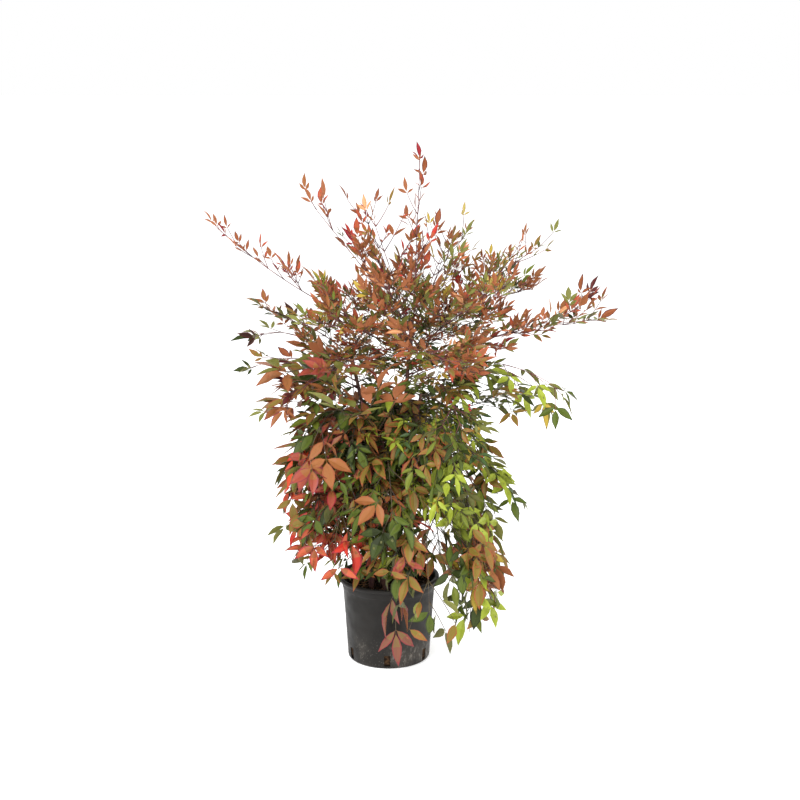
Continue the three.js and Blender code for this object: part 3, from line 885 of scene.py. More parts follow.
def inner_shoots(cane, seed):
    """Short stems: each an arch from the cane's side at its height, out along its heading."""
    random = np.random.default_rng(500 + seed)
    below, above = (steps[seed > 1] for steps in SHOOT_STEP)
    lower = np.arange(SHOOT_LOWEST + 5 * seed, SHOOT_LEVEL, below)
    heights = np.append(lower, np.arange(SHOOT_LEVEL, cane["line"][-1, 2] - UNDER_TOP, above))
    shoots = []
    for i, height in enumerate(heights):
        _, reach, rise, leaflet = next(kind for kind in SHOOT_KINDS if height < kind[0])
        share = np.interp(height, cane["line"][:, 2], SAMPLES)
        centre = cane_curve(cane, share)[0]
        heading = (SHOOT_FIRST * seed + GOLDEN_TURN * i) % 360
        way = heading_vector(heading)
        if way[0] > BRIGHT and height < SHOOT_LOWEST_BRIGHT:
            continue
        start = centre + way * cane_radius(cane, share)
        tip = centre + way * random.uniform(*reach) + UP * random.uniform(*rise)
        line = bezier(start, lerp(start, tip, 0.5) + UP * SHOOT_ARCH, tip, SAMPLES)
        tints = next(row[2] for row in SHOOT_TINTS if row[0] <= heading < row[1] or heading + 360 < row[1])
        tint = tints[int(height > SHOULDER) + int(height > CROWN)]
        size = random.uniform(*leaflet)
        shoots.append(dict(cane=cane, way=way, line=line, leaflet=size, tint=tint, high=height > CROWN))
    return shoots


shoots = [shoot for seed, cane in enumerate(canes) for shoot in inner_shoots(cane, seed)]
print("inner shoots", len(shoots))

# %% [markdown]
# ## Growing the sprays
# A compound leaf of this shrub branches twice or three times. Its stem bears pairs of side twigs, each
# twig bears pairs of leaflets or of short twigs again, and every twig ends in three leaflets. Growth
# could be simulated, but a rule with a few seeded numbers is enough: shares along the parent for the
# joints, lengths that shrink towards the tip, an angle off the parent, and a pull downwards that grows
# with how far the spray hangs.

# %% Stems ready to branch
REAL_SIZE = dict(crown=0.58, airy=0.66, skirt=0.6, inner=0.72, front=1)  # to the CAD model's coarse leaflet
# what a tint adds to that: bronze leaflets are larger, green ones smaller
TINT_SIZE = dict(bronze=0.14, rosewood=0.1, dome=0.07, scarlet=0.04, green=-0.1, inner=-0.1)
FIRST_JOINT, LAST_JOINT = 0.22, 0.94  # shares of a stem's length
JOINT_STEP = dict(crown=42, airy=50, skirt=52, inner=33)  # mm along a stem from pair to pair
MOST_JOINTS = 13
TWIG_TAPER = ([0.2, 0.36, 0.82, 1], [0.26, 0.32, 0.17, 0.07])  # along the stem, a twig's share of its length
MISSING = dict(crown=0.1, airy=0.18, skirt=0.06, inner=0.05, front=0)  # share of twigs long since dropped
HAND = np.array([1.0, -1.0])  # the two twigs, or leaflets, of a pair
FLARE = 0.4  # how much of the skirt's hang is left on the shaded side
UNDER_BARK = 3  # how far a stem's root goes into its cane


def group_of(stem):
    """Which of the kinds of spray a stem is."""
    if "kind" in stem:
        return stem["kind"]
    if "high" in stem:
        return "crown" if stem["high"] else "inner"
    if "bare" in stem:
        return "front"
    if not stem["cane"]["name"].startswith("cane_tall"):
        return "skirt"
    return "airy" if "spread" in stem else "crown"


def flares(stem):
    """True for the skirt's sprays on the shaded side, which stand out more than they hang."""
    return stem["group"] == "skirt" and stem["way"][0] < SHADED


def ready_stem(stem, number):
    """The stem runs on by what the finer leaflet is shorter, so that its tip stays where it was.

    Its hang is (fall + 50) / 280, from -0.5 for a climbing spray to 1 for one that hangs down.
    """
    stem["number"] = number
    stem["random"] = np.random.default_rng(100 + number)
    line = stem["line"]
    fall = line[0, 2] - line[-1, 2]
    stem.setdefault("hang", np.clip((fall + 50) / 280, -0.5, 1) * (FLARE if flares(stem) else 1))
    stem["leaf"] = stem["leaflet"] * (REAL_SIZE[stem["group"]] + TINT_SIZE.get(stem["tint"], 0))
    last = line[-1] - line[-2]
    stem["end_way"] = unit(last - UP * 0.5 * stem["hang"] * np.linalg.norm(last))
    more = max(stem["leaflet"] - stem["leaf"], 1)
    tail = line[-1] + stem["end_way"] * np.linspace(0, more, 6)[1:, None]
    root = line[0] - stem["way"] * UNDER_BARK
    stem["axis"] = np.concatenate([root[None], line, tail])
    stem["length"] = np.linalg.norm(np.diff(stem["axis"], axis=0), axis=1).sum()
    stem["level"] = np.cross(UP, stem["way"])


for number, stem in enumerate(stems + shoots):
    stem["group"] = group_of(stem)
    ready_stem(stem, number)
print("longest stem", round(max(stem["length"] for stem in stems)), "mm")


# %% Side twigs and short twigs
TWIG_TURN, SHORT_TWIG_TURN = 36, 45  # degrees at most, about what bears them
SHORT_TWIGS_AT = ((0.3, 0.44), (0.6, 0.74))  # least and greatest share along the parent, for each pair
LONG_TWIG = 1.7  # leaflets' lengths, past which a twig branches again


def bow_of(hang):
    """Side twigs bend down where a spray hangs and up where it climbs."""
    return -0.16 * hang if hang > 0 else -0.3 * hang


def side_twigs(stem):
    """Pairs of side twigs of one stem, as arrays: root, way, length, share along the stem, and bow.

    way = (1 - spread) along the stem + spread to its side, less 0.45 of the hang.
    """
    random = stem["random"]
    first = stem.get("bare", FIRST_JOINT)
    pairs = 1
    if "bare" not in stem:
        step = stem.get("step", JOINT_STEP[stem["group"]])
        pairs = int(np.clip(round(stem["length"] * (0.95 - first) / step), 2, MOST_JOINTS))
    shares = np.repeat(lerp(first, LAST_JOINT, np.linspace(0, 1, pairs) ** 0.9), 2)
    hand = np.tile(HAND, pairs)
    root, along = walk(stem["axis"], shares)
    level = np.broadcast_to(stem["level"], root.shape)
    out = rolled(level * hand[:, None], along, either_way(random, TWIG_TURN, len(hand)) * hand)
    spread = random.uniform(0.46, 0.62, len(hand))[:, None]
    way = unit(along * (1 - spread) + out * spread)
    way = unit(way - UP * 0.45 * stem["hang"])
    taper = np.interp(shares, *TWIG_TAPER)
    extra = stem["leaflet"] - stem["leaf"]
    length = (stem["length"] * taper + extra) * stem.get("spread", 1) * random.uniform(0.6, 1.15, len(hand))
    bow = bow_of(stem["hang"]) + random.normal(0, 0.09, len(hand))
    twigs = dict(root=root, way=way, length=length, share=shares, bow=bow)
    kept = random.uniform(0, 1, len(hand)) > MISSING[stem["group"]]
    return picked(twigs, kept)


def short_twigs(parents, random, hang):
    """Pairs of short twigs on each parent twig, two fifths and two thirds of the way along it.

    way = 0.62 along the parent + 0.6 to its side, less 0.3 of the hang.
    """
    count = len(parents["root"])
    found = []
    for low, high in SHORT_TWIGS_AT:
        share = np.repeat(random.uniform(low, high, count), 2)
        root, way = np.repeat(parents["root"], 2, axis=0), np.repeat(parents["way"], 2, axis=0)
        length, bow = np.repeat(parents["length"], 2), np.repeat(parents["bow"], 2)
        hand = np.tile(HAND, count)
        side = level_side(way) * hand[:, None]
        out = rolled(side, way, either_way(random, SHORT_TWIG_TURN, len(hand)) * hand)
        found.append(
            dict(
                root=root + way * (length * share)[:, None] + UP * (bow * length * share**2)[:, None],
                way=unit(unit(way * 0.62 + out * 0.6) - UP * 0.3 * hang),
                length=length * (1 - 0.6 * share) * random.uniform(0.3, 0.46, len(hand)),
                share=np.repeat(parents["share"], 2),
                parent=np.repeat(parents["parent"], 2),
                bow=bow + random.normal(0, 0.1, len(hand)),
            )
        )
    return stacked(found)


branching = [stem for stem in stems + shoots if stem["tint"] != "berries"]
for stem in branching:
    twigs = side_twigs(stem)
    twigs["parent"] = np.arange(len(twigs["root"]))
    long = twigs["length"] > LONG_TWIG * stem["leaf"]
    long &= twigs["share"] < stem.get("lush", 1) * 0.8 + 0.1
    children = short_twigs(picked(twigs, long), stem["random"], stem["hang"])
    stem["twigs"] = stacked([twigs, children])
    stem["twigs"]["order"] = np.concatenate([1 + long, np.zeros(len(children["root"]), int)])
print("twigs", sum(len(stem["twigs"]["root"]) for stem in branching))

# %% [markdown]
# Twigs that would end inside the pot or in the ground are left out, with all that they would bear, and
# so is what would hang under the skirt's hem: the line that its lowest leaves keep, high on the shaded
# side, lower in front of the pot and lowest on the bright side. The pot could be made an obstacle in a
# simulation; tests on a few points of each twig and leaflet give the same in no time.

# %% Keeping clear of pot, ground and hem
POT_CLEAR = (146, POT_HEIGHT + 8)  # radius and height
LOWEST = 6
TWIG_POINTS = 5
PAST_CAD = 18  # a leaflet reaches no further past the CAD model's box
OFF_BARK = 2
# the hem: how far a heading is towards +X, and the hem's height there beside the pot
HEM = ([-1, -0.7, -0.3, 0.15, 0.35, 0.72, 1], [230, 205, 150, 105, 60, 15, 75])
HEM_RISE = (185, 0.5)  # a radius, and what the hem rises for each millimetre past it
TWIG_OVER_HEM = 20
cane_points = np.concatenate([cane["line"][::2] for cane in canes])
cane_reach = np.repeat([cane_radius(cane, 0.4) + OFF_BARK for cane in canes], len(SAMPLES[::2]))


def is_free(points):
    """True for points outside the pot, above the ground, off the canes' bark and near the CAD box."""
    in_pot = (np.hypot(points[..., 0], points[..., 1]) < POT_CLEAR[0]) & (points[..., 2] < POT_CLEAR[1])
    low = points[..., 2] < LOWEST
    past = np.maximum(CAD_BOX[0] / MM - points, points - CAD_BOX[1] / MM).max(-1)
    gap = np.linalg.norm(points[..., None, :] - cane_points, axis=-1) - cane_reach
    return ~(in_pot | low | (past > PAST_CAD) | (gap.min(-1) < 0))


def above_hem(points):
    """Height over the hem: a height for each heading, raised with the radius."""
    radius = np.hypot(points[..., 0], points[..., 1])
    hem = np.interp(points[..., 0] / radius, *HEM) + HEM_RISE[1] * np.maximum(radius - HEM_RISE[0], 0)
    return points[..., 2] - hem


def twig_lines(twigs, parts):
    """Points along each twig, root + way length t + up bow length t^2, and the heading at its end."""
    t = np.linspace(0, 1, parts)[None, :, None]
    length, bow = twigs["length"][:, None, None], twigs["bow"][:, None, None]
    lines = twigs["root"][:, None] + twigs["way"][:, None] * length * t + UP * bow * length * t**2
    return lines, unit(twigs["way"] + UP * 2 * bow[:, 0])


for stem in branching:
    lines = twig_lines(stem["twigs"], TWIG_POINTS)[0]
    keep = is_free(lines[:, 2:]).all(1)
    if stem["group"] in ("skirt", "inner"):
        keep &= above_hem(lines[:, -1]) > TWIG_OVER_HEM
    keep &= keep[stem["twigs"]["parent"]]
    stem["twigs"] = picked(stem["twigs"], keep)
print("twigs kept", sum(len(stem["twigs"]["root"]) for stem in branching))

# %% [markdown]
# ## Leaflets
# A leaflet is a lance-shaped blade, folded a little along its midrib and curled down to a fine point.
# Its outline is a sine of a bent share, which puts the widest place under the middle and draws out
# the tip. Each leaflet has its own width, fold, curl and roll, so no two catch the light alike.

# %% Where the leaflets sit
TRIO_TURN = dict(crown=40, airy=42, skirt=64, inner=60, front=50)  # degrees between a trio's leaflets
LIFT = dict(crown=0.24, airy=0.3, skirt=0, inner=0, front=0)  # how much crown leaflets point upwards
ROLL = dict(crown=78, airy=82, skirt=32, inner=45, front=5)  # degrees at most
# least and greatest size of the leaflets beside a twig's end, and of the one at its end
SIDE_SIZE = dict(
    crown=(0.45, 0.82), airy=(0.4, 0.72), skirt=(0.66, 0.9), inner=(0.6, 0.9), front=(0.76, 0.84)
)
END_SIZE = dict(
    crown=(0.8, 1.18), airy=(0.85, 1.2), skirt=(0.82, 1.14), inner=(0.8, 1.15), front=(0.98, 1.1)
)
WIDTHS = ([38, 78], [0.26, 0.41])  # a spray of longer leaflets has broader ones, for their length
FRONT_WIDTH = 0.32
LUSH_AT = [0.2, 0.55, 1]  # along a stem
LUSH_ALONG = ([1.1, 0.85, 0.5], [1.7, 0.9, 0.25])  # how leafy it is there; the second for airy sprays
STALK = 0.07  # of a leaflet's length
MOST_PAIRS = 3
TRIO_LOOSE, PAIR_TURN = 13, 50  # degrees at most


def pair_counts(stem):
    """How many pairs of leaflets each twig has room for under its end; fewer towards the stem's tip."""
    twigs = stem["twigs"]
    room = np.where(twigs["order"] == 2, 0.5, 0.72) * twigs["length"]
    lush = stem.get("lush", 1) * np.interp(twigs["share"], LUSH_AT, LUSH_ALONG[stem["group"] == "airy"])
    return np.clip(np.round(room / (0.66 * stem["leaf"]) * lush), 0, MOST_PAIRS).astype(int)


def trios_of(stem, pull):
    """Three leaflets at each twig's end, and three at the stem's own end."""
    leaf, random, group = stem["leaf"], stem["random"], stem["group"]
    lines, end_way = twig_lines(stem["twigs"], TWIG_POINTS)
    count = len(lines) + 1
    end = np.concatenate([lines[:, -1], stem["axis"][-1:]])
    way = unit(np.concatenate([end_way, stem["end_way"][None]]) - pull)
    roll = ROLL[group]
    side = rolled(level_side(way), way, either_way(random, roll, count))
    face = np.cross(way, side)
    found = []
    for turn in (0, 1, -1):
        degrees = turn * (TRIO_TURN[group] + either_way(random, TRIO_LOOSE, count))
        out, across = rolled(way, face, degrees), rolled(side, face, degrees)
        tilt = abs(turn) * either_way(random, 0.5, (2, count)) * roll
        out, across = rolled(out, side, tilt[0]), rolled(across, out, tilt[1])
        across = unit(across - out * (across * out).sum(-1, keepdims=True))
        size = leaf * random.uniform(*(SIDE_SIZE[group] if turn else END_SIZE[group]), count)
        found.append((end - way * (abs(turn) * STALK * leaf), out, across, size, np.arange(count)))
    return found


def pairs_of(stem, pull):
    """Pairs of leaflets further down the twigs: 0.68 along the twig + 0.7 to its side, less the pull."""
    twigs, random = stem["twigs"], stem["random"]
    pairs = pair_counts(stem)
    found = []
    for step in range(MOST_PAIRS):
        chosen = np.flatnonzero(pairs > step)
        count = len(chosen)
        low = np.where(twigs["order"][chosen] == 2, 0.5, 0.26)
        share = low + (LAST_JOINT - low) * (step + random.uniform(0.2, 0.55, count)) / pairs[chosen]
        length, bow = twigs["length"][chosen], twigs["bow"][chosen]
        along = unit(twigs["way"][chosen] + UP * (2 * bow * share)[:, None])
        joint = twigs["root"][chosen] + twigs["way"][chosen] * (length * share)[:, None]
        joint = joint + UP * (bow * length * share**2)[:, None]
        level = rolled(level_side(along), along, either_way(random, PAIR_TURN, count))
        for hand in HAND:
            out = unit(along * 0.68 + level * hand * 0.7)
            out = unit(out - pull * random.uniform(0.5, 1.2, count)[:, None])
            side = rolled(level_side(out), out, either_way(random, PAIR_TURN, count))
            size = stem["leaf"] * random.uniform(SIDE_SIZE[stem["group"]][0], 1, count)
            found.append((joint, out, side, size, chosen))
    return found


def leaves_of(stem):
    """All leaflets of a spray: root, way, side, length, the twig each belongs to, and width."""
    group = stem["group"]
    pull = UP * (0.5 * stem["hang"] - LIFT[group])
    found = trios_of(stem, pull) + pairs_of(stem, pull)
    values = [np.concatenate(column) for column in zip(*found)]
    leaves = dict(zip(("root", "way", "side", "length", "owner"), values))
    width = FRONT_WIDTH if group == "front" else np.interp(stem["leaf"], *WIDTHS)
    leaves["width"] = np.full(len(leaves["root"]), width)
    return leaves


print("pairs down the first stem's twigs", pair_counts(branching[0]).sum())

# %% Leaflets of every spray
ALONG_LEAFLET = np.array([0.15, 0.4, 0.7, 1])  # where a leaflet is tested
HEM_LOOSE = (-30, 15)  # how much one leaflet may miss the hem by
THINNING = [0.55, 1]  # share of leaflets left at the hem, and at the height where all is leafy
LEAFY_FROM = 400
WINDOW_PLACE = (142, 310)  # beside the pot's bright lip, where light comes through: x and height
WINDOW_HALF = (40, 130)  # half its width and height
WINDOW_OPEN = 0.9  # share of leaflets left out there


def hem_share(tips, middles, height):
    """Share of leaflets left: thinned from LEAFY_FROM down to the hem, and once more in the window.

    Left out in the window: 0.9 exp(-((x - its middle) / its half width)^4).
    """
    share = height / np.maximum(height + LEAFY_FROM - tips[:, 2], 60)
    beside = np.exp(-(((middles[:, 0] - WINDOW_PLACE[0]) / WINDOW_HALF[0]) ** 4))
    level = np.abs(middles[:, 2] - WINDOW_PLACE[1]) < WINDOW_HALF[1]
    return np.interp(share, [0, 1], THINNING) * (1 - WINDOW_OPEN * (beside * level))


for stem in branching:
    leaves, random = leaves_of(stem), stem["random"]
    reach = leaves["way"] * leaves["length"][:, None]
    spots = leaves["root"][:, None] + reach[:, None] * ALONG_LEAFLET[:, None]
    keep = is_free(spots).all(1)
    if stem["group"] in ("skirt", "inner"):
        height = above_hem(spots[:, -1]) + random.uniform(*HEM_LOOSE, len(reach))
        share = hem_share(spots[:, -1], spots[:, 2], height)
        keep &= (height > 0) & (random.uniform(0, 1, len(reach)) < share)
        owners = leaves["owner"]
        keep &= np.bincount(owners[keep], minlength=owners.max() + 1)[owners] > 1  # none hangs alone
    stem["leaves"] = picked(leaves, keep)
    owners, count = stem["leaves"]["owner"], len(stem["twigs"]["root"])
    stem["bearing"] = np.isin(np.arange(count), owners) | (stem["twigs"]["order"] == 2)
    stem["last"] = 1 if count in owners else stem["twigs"]["share"][stem["bearing"]].max(initial=0.2)
print("leaflets", sum(len(stem["leaves"]["root"]) for stem in branching))

# %% The blade
BLADE_STATIONS = np.array([0, 0.07, 0.22, 0.42, 0.64, 0.85, 1])
BLADE_ACROSS = np.array([1, 0.74, 0, -0.74, -1, 0])  # margin, half, midrib, half, margin, underside
BLADE_LIFT = np.array([1, 0.82, 0, 0.82, 1, 0])
BLADE_UNDER = np.array([0, 0, 0, 0, 0, 1])
BLADE_SIDES = len(BLADE_ACROSS)
BLADE_CREASES = (0, 2, 4)  # the margins and the midrib
BLADE_THICK = 0.011  # of a leaflet's length
CURL, SWAY = (0.0, 0.26), (-0.1, 0.1)  # least and greatest, down and to one side, at the tip
FOLD = (0.12, 0.55)  # how steeply the halves rise from the midrib
BROAD = (0.82, 1.16)  # times the spray's own width


def blade_outline(u):
    """A thin stalk, then sin(pi v^0.8)^1.25 with v from the stalk's end to the tip."""
    v = np.clip((u - STALK) / (1 - STALK), 0, 1)
    return np.maximum(np.sin(np.pi * v**0.8), 0.0) ** 1.25 * 0.97 + np.where(v > 0.99, 0.015, 0.035)


def blade_points(leaves, random):
    """Six corners round each of seven stations of every leaflet.

    place = root + way L u - face curl L u^2 + side sway L u^2, then across by half the width, up by the
    fold towards the margins, and down by the thickness under the midrib.
    """
    count = len(leaves["root"])
    length = leaves["length"][:, None, None]
    u = BLADE_STATIONS[None, :, None]
    curl = random.uniform(*CURL, count)[:, None, None]
    sway = random.uniform(*SWAY, count)[:, None, None]
    fold = random.uniform(*FOLD, count)[:, None, None, None]
    broad = random.uniform(*BROAD, count)[:, None, None]
    way, side = leaves["way"][:, None], leaves["side"][:, None]
    face = np.cross(way, side)
    centre = leaves["root"][:, None] + way * length * u
    centre = centre - face * curl * length * u**2 + side * sway * length * u**2
    lift = unit(face + way * 2 * curl * u)
    half = (length * leaves["width"][:, None, None] / 2 * blade_outline(u) * broad)[..., None]
    ripple = 1 + 0.3 * np.sin(9 * u[..., None] + 20 * fold)
    thick = (length * BLADE_THICK * blade_outline(u))[..., None]
    return (
        centre[:, :, None]
        + side[:, :, None] * half * BLADE_ACROSS[:, None]
        + lift[:, :, None] * (half * fold * ripple * BLADE_LIFT[:, None] - thick * BLADE_UNDER[:, None])
    )


print("corners of a leaflet", len(BLADE_STATIONS) * BLADE_SIDES)

# %% [markdown]
# ## Autumn tints
# Tints go by place: embers in the crown, plum and bronze on the shaded side, lime on the bright one,
# deep green within. Some tints stand in for light: the pale peach, apricot and straw leaflets of the
# crown are partly painted highlight, and the darkest greens, deep inside and low in front of the pot,
# are partly painted shade. One noise over the whole plant could colour it, but it would run across leaflets.
# So each spray is dealt a family of tints, and each of its twigs one tint of that family: neighbours
# differ, and yet belong together. In the skirt a twig's family goes by its height. A tint has four
# plain colours: the heart of the blade, its outer part, its margin and tip, and its paler underside.

# %% Colours
# peach, apricot and straw are pale tints that are partly painted highlight on crown leaflets; shade is a
# near-black green, painted shade deep in the foliage
COLOURS = dict(
    coral="a44f33", copper="844a2b", bronze="87552f", tan="7b5c2c", khaki="6c5d26",
    scarlet="ac3023", flame="b94526", rose="7c3636", brick="8d4233", spruce="3f5430",
    crimson="86262c", maroon="521f1d", plum="38241c", olive="735f28", gold="a99138", lime="86912e",
    pea="8f9a3a", fresh="636b25", green="4a561e", deep="333d18", shade="222910", pale_red="8a5435",
    pale_green="6c6d36", dull_green="53532b", fawn="6f5636", dusky="734839", apricot="ad6b45",
    peach="c08a60", straw="a3954c",
)
TINTS = {  # heart, blade, margin and tip, underside
    "coral": ("copper", "coral", "crimson", "pale_red"),
    "copper": ("copper", "copper", "maroon", "pale_red"),
    "apricot": ("apricot", "apricot", "coral", "pale_red"),
    "peach": ("peach", "peach", "apricot", "pale_red"),
    "russet": ("olive", "copper", "coral", "pale_red"),
    "bronze": ("bronze", "bronze", "rose", "pale_red"),
    "amber": ("bronze", "bronze", "copper", "pale_red"),
    "umber": ("khaki", "tan", "copper", "pale_green"),
    "brick": ("copper", "brick", "crimson", "pale_red"),
    "rosewood": ("bronze", "brick", "rose", "pale_red"),
    "scarlet": ("coral", "scarlet", "crimson", "pale_red"),
    "flame": ("flame", "flame", "scarlet", "pale_red"),
    "crimson": ("crimson", "crimson", "maroon", "pale_red"),
    "maroon": ("maroon", "maroon", "plum", "dull_green"),
    "plum": ("plum", "plum", "maroon", "dull_green"),
    "olive": ("olive", "olive", "copper", "pale_green"),
    "gold": ("gold", "gold", "olive", "pale_green"),
    "straw": ("straw", "straw", "copper", "pale_green"),
    "lime": ("pea", "lime", "lime", "pale_green"),
    "fresh": ("fresh", "fresh", "green", "pale_green"),
    "turning": ("fresh", "olive", "coral", "pale_green"),
    "green": ("green", "green", "deep", "dull_green"),
    "deep": ("deep", "deep", "shade", "dull_green"),
    "shade": ("shade", "deep", "shade", "dull_green"),
    "spruce": ("spruce", "spruce", "deep", "dull_green"),
    "front": ("fawn", "dusky", "rose", "pale_red"),
}
# families that hold the shade tint (plum, dome, dusk and inner) paint shade into the foliage with it
FAMILIES = {  # tints, and how many twigs have each against the rest
    "ember": dict(
        peach=3, apricot=4, coral=4, copper=6, russet=5, crimson=3, scarlet=2, amber=4, maroon=3, brick=3,
        olive=4, deep=1, turning=2,
    ),
    "blush": dict(peach=1, apricot=2, coral=4, crimson=3, brick=3, scarlet=2, copper=3, maroon=1),
    "copper": dict(
        peach=3, straw=2, apricot=4, copper=4, russet=4, coral=2, olive=5, scarlet=2, gold=4, turning=4,
        crimson=2, maroon=2, amber=4, deep=1, fresh=3,
    ),
    "autumn": dict(
        peach=2, straw=2, deep=1, olive=5, russet=5, copper=5, gold=3, coral=2, crimson=1, turning=4,
        fresh=1, amber=3,
    ),
    "gilt": dict(
        peach=2, straw=4, deep=1, apricot=3, olive=5, gold=4, russet=5, copper=4, coral=1, turning=4,
        amber=4, umber=2, fresh=1,
    ),
    "shoulder": dict(umber=5, plum=2, maroon=2, olive=4, amber=3, bronze=2, deep=3, green=2, rosewood=1),
    "plum": dict(plum=7, maroon=1, umber=8, amber=3, copper=3, bronze=3, olive=1, deep=3, shade=2),
    "bronze": dict(amber=4, bronze=5, umber=6, rosewood=4, green=2, olive=4, turning=2, deep=1, fresh=1),
    "rosewood": dict(
        rosewood=4, brick=3, coral=4, bronze=2, umber=3, amber=2, green=4, deep=1, olive=3, scarlet=3,
    ),
    "scarlet": dict(scarlet=4, flame=5, brick=4, rosewood=3, coral=6, bronze=3, umber=1, green=3, olive=3),
    "mixed": dict(
        scarlet=2, flame=2, coral=3, rosewood=2, bronze=2, green=5, olive=3, umber=2, deep=2, fresh=2,
    ),
    "lime": dict(lime=14, gold=3, fresh=5, olive=2, green=3, spruce=1, turning=1),
    "pale_lime": dict(lime=14, gold=2, fresh=2, green=1, russet=1, turning=1),
    "dome": dict(
        umber=5, bronze=3, amber=1, rosewood=1, green=4, deep=5, shade=3, olive=6, fresh=3, turning=2,
    ),
    # dusk: darker greens low in front of the pot, as painted shade
    "dusk": dict(
        umber=4, olive=6, green=5, deep=6, shade=4, turning=2, fresh=3, bronze=1, rosewood=1, lime=1,
    ),
    "verdant": dict(lime=6, fresh=6, green=4, deep=2, olive=3, bronze=2, turning=1, gold=1),
    "green": dict(green=6, deep=5, spruce=2, fresh=5, olive=4, umber=3, turning=1, lime=1),
    # inner: the greener foot of a stem, darkened as painted shade
    "inner": dict(green=4, deep=5, shade=3, spruce=1, fresh=2, olive=4, umber=3),
    "rosy": dict(
        rosewood=3, bronze=5, amber=5, fresh=2, green=2, lime=3, olive=4, gold=5, umber=2, apricot=1,
    ),
    "front": dict(front=1),
}
# the inner family at the foot of each stem is its own greener tint, darkened as painted shade
INNER_SHARE = dict(crown=0.12, airy=0, skirt=0.22, inner=0.1, front=0)  # of the stem that stays green
INNER_LOOSE = 0.12
CODES = list(COLOURS)
TINT_SLOTS = np.array([[CODES.index(code) for code in codes] for codes in TINTS.values()])
FAMILY_NAME = "U12"  # room for the longest family's name, in an array


def deal(family, random, count):
    """Tint numbers for a count of twigs, by the family's shares."""
    weights = np.array(list(family.values()), float)
    numbers = [list(TINTS).index(tint) for tint in family]
    return random.choice(numbers, count, p=weights / weights.sum())


def leaf_finish(name, color):
    """A plain tint with a soft gloss; ribs and pores of the blade as a bump."""
    made = Finish("leaf_" + name, color, 0.42, 0.16)
    made.bump(made.noise(230, 5), 0.5, 0.8)
    return made.material


LEAF_LOOKS = [leaf_finish(name, color) for name, color in COLOURS.items()]
print("leaf colours", len(LEAF_LOOKS), "tints", len(TINTS))

# %% Dealing the tints and joining the leaflets
def families_of(stem):
    """The family of each twig and of the stem's end: by its height in the skirt, else the spray's."""
    count = len(stem["twigs"]["root"]) + 1
    if stem["group"] != "skirt" or "kind" in stem:
        return np.full(count, stem["tint"], dtype=FAMILY_NAME)
    heights = np.append(twig_lines(stem["twigs"], 2)[0][:, 1, 2], stem["axis"][-1, 2])
    return np.array([skirt_tint(stem["heading"], height) for height in heights], dtype=FAMILY_NAME)


for stem in branching:
    random = stem["random"]
    shares = np.append(stem["twigs"]["share"], 1)
    families = families_of(stem)
    loose = random.normal(0, INNER_LOOSE, len(shares))
    families[shares + loose < INNER_SHARE[stem["group"]]] = "inner"
    tints = np.zeros(len(shares), int)
    for name in np.unique(families):
        chosen = families == name
        tints[chosen] = deal(FAMILIES[name], random, chosen.sum())
    stem["leaves"]["tint"] = tints[stem["leaves"]["owner"]]


def leaf_looks_of(tints):
    """Material slot of every face: six round each of six stretches, then the two end caps."""
    heart, blade, margin, under = TINT_SLOTS[tints].T
    low = np.stack([margin, heart, heart, margin, under, under], axis=-1)
    high = np.stack([margin, blade, blade, margin, under, under], axis=-1)
    tip = np.stack([margin, margin, margin, margin, under, under], axis=-1)
    return np.concatenate([np.stack([low, low, low, high, high, tip], axis=1).ravel(), under, margin])


def join_leaves(name, members, nodes):
    """One piece from the leaflets of several sprays."""
    leaves = stacked([stem["leaves"] for stem in members])
    blades = blade_points(leaves, np.random.default_rng(members[0]["number"]))

    def creased(a, b):
        """True for the edges along the margins and the midrib."""
        return (a % BLADE_SIDES == b % BLADE_SIDES) & np.isin(a % BLADE_SIDES, BLADE_CREASES)

    face_looks = leaf_looks_of(leaves["tint"])
    piece = build_rings(name, [blades], LEAF_LOOKS, face_looks=face_looks, sharp=creased)
    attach(piece, "root")
    if nodes:
        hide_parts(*nodes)
    print(name, len(blades), "leaflets", triangles(piece), "triangles")


TOP_SPRAYS = 9  # of the right tall cane; the rest are a piece of their own
long_stems = [stem for stem in branching if "high" not in stem]
crown_right = [stem for stem in long_stems if stem["cane"] is canes[0]]
crown_left = [stem for stem in long_stems if stem["cane"] is canes[1]]
skirt = [stem for stem in long_stems if stem["cane"]["name"].startswith("cane_short")]
crown_nodes = sorted(node for node in frame["nodes"] if node.startswith("crown_spray"))
skirt_nodes = sorted(node for node in frame["nodes"] if node.startswith("skirt_spray"))
right_nodes = crown_nodes[: len(crown_right)]
left_nodes = crown_nodes[len(crown_right) :]
half = len(skirt) // 2
join_leaves("leaves_crown_top", crown_right[:TOP_SPRAYS], right_nodes[:TOP_SPRAYS])
join_leaves("leaves_crown_right", crown_right[TOP_SPRAYS:], right_nodes[TOP_SPRAYS:])
join_leaves("leaves_crown_left", crown_left, left_nodes)
join_leaves("leaves_skirt_one", skirt[:half], skirt_nodes[:half])
join_leaves("leaves_skirt_two", skirt[half:], skirt_nodes[half:])
low_shoots = [stem for stem in shoots if not stem["high"]]
high_shoots = [stem for stem in shoots if stem["high"]]
join_leaves("leaves_inner_one", low_shoots[::2], [])
join_leaves("leaves_inner_two", low_shoots[1::2], [])
join_leaves("leaves_crown_heart", high_shoots, [])

# %% [markdown]
# ## Stems and twigs
# The stems are fine and dark, with swollen joints, and as much a part of the airy crown as its leaves.
# A curve with a bevel would do for one of them; thousands are quicker as tubes in one mesh, of a few
# sides each: five for a stem, three for a twig.

# %% Tubes for stems and twigs
STEM_RADII, TWIG_RADII = (1.6, 0.7), (1.35, 0.85)  # at the foot and at the tip
STEM_STATIONS, TWIG_STATIONS = 26, 6
STEM_SIDES, TWIG_SIDES = 5, 3


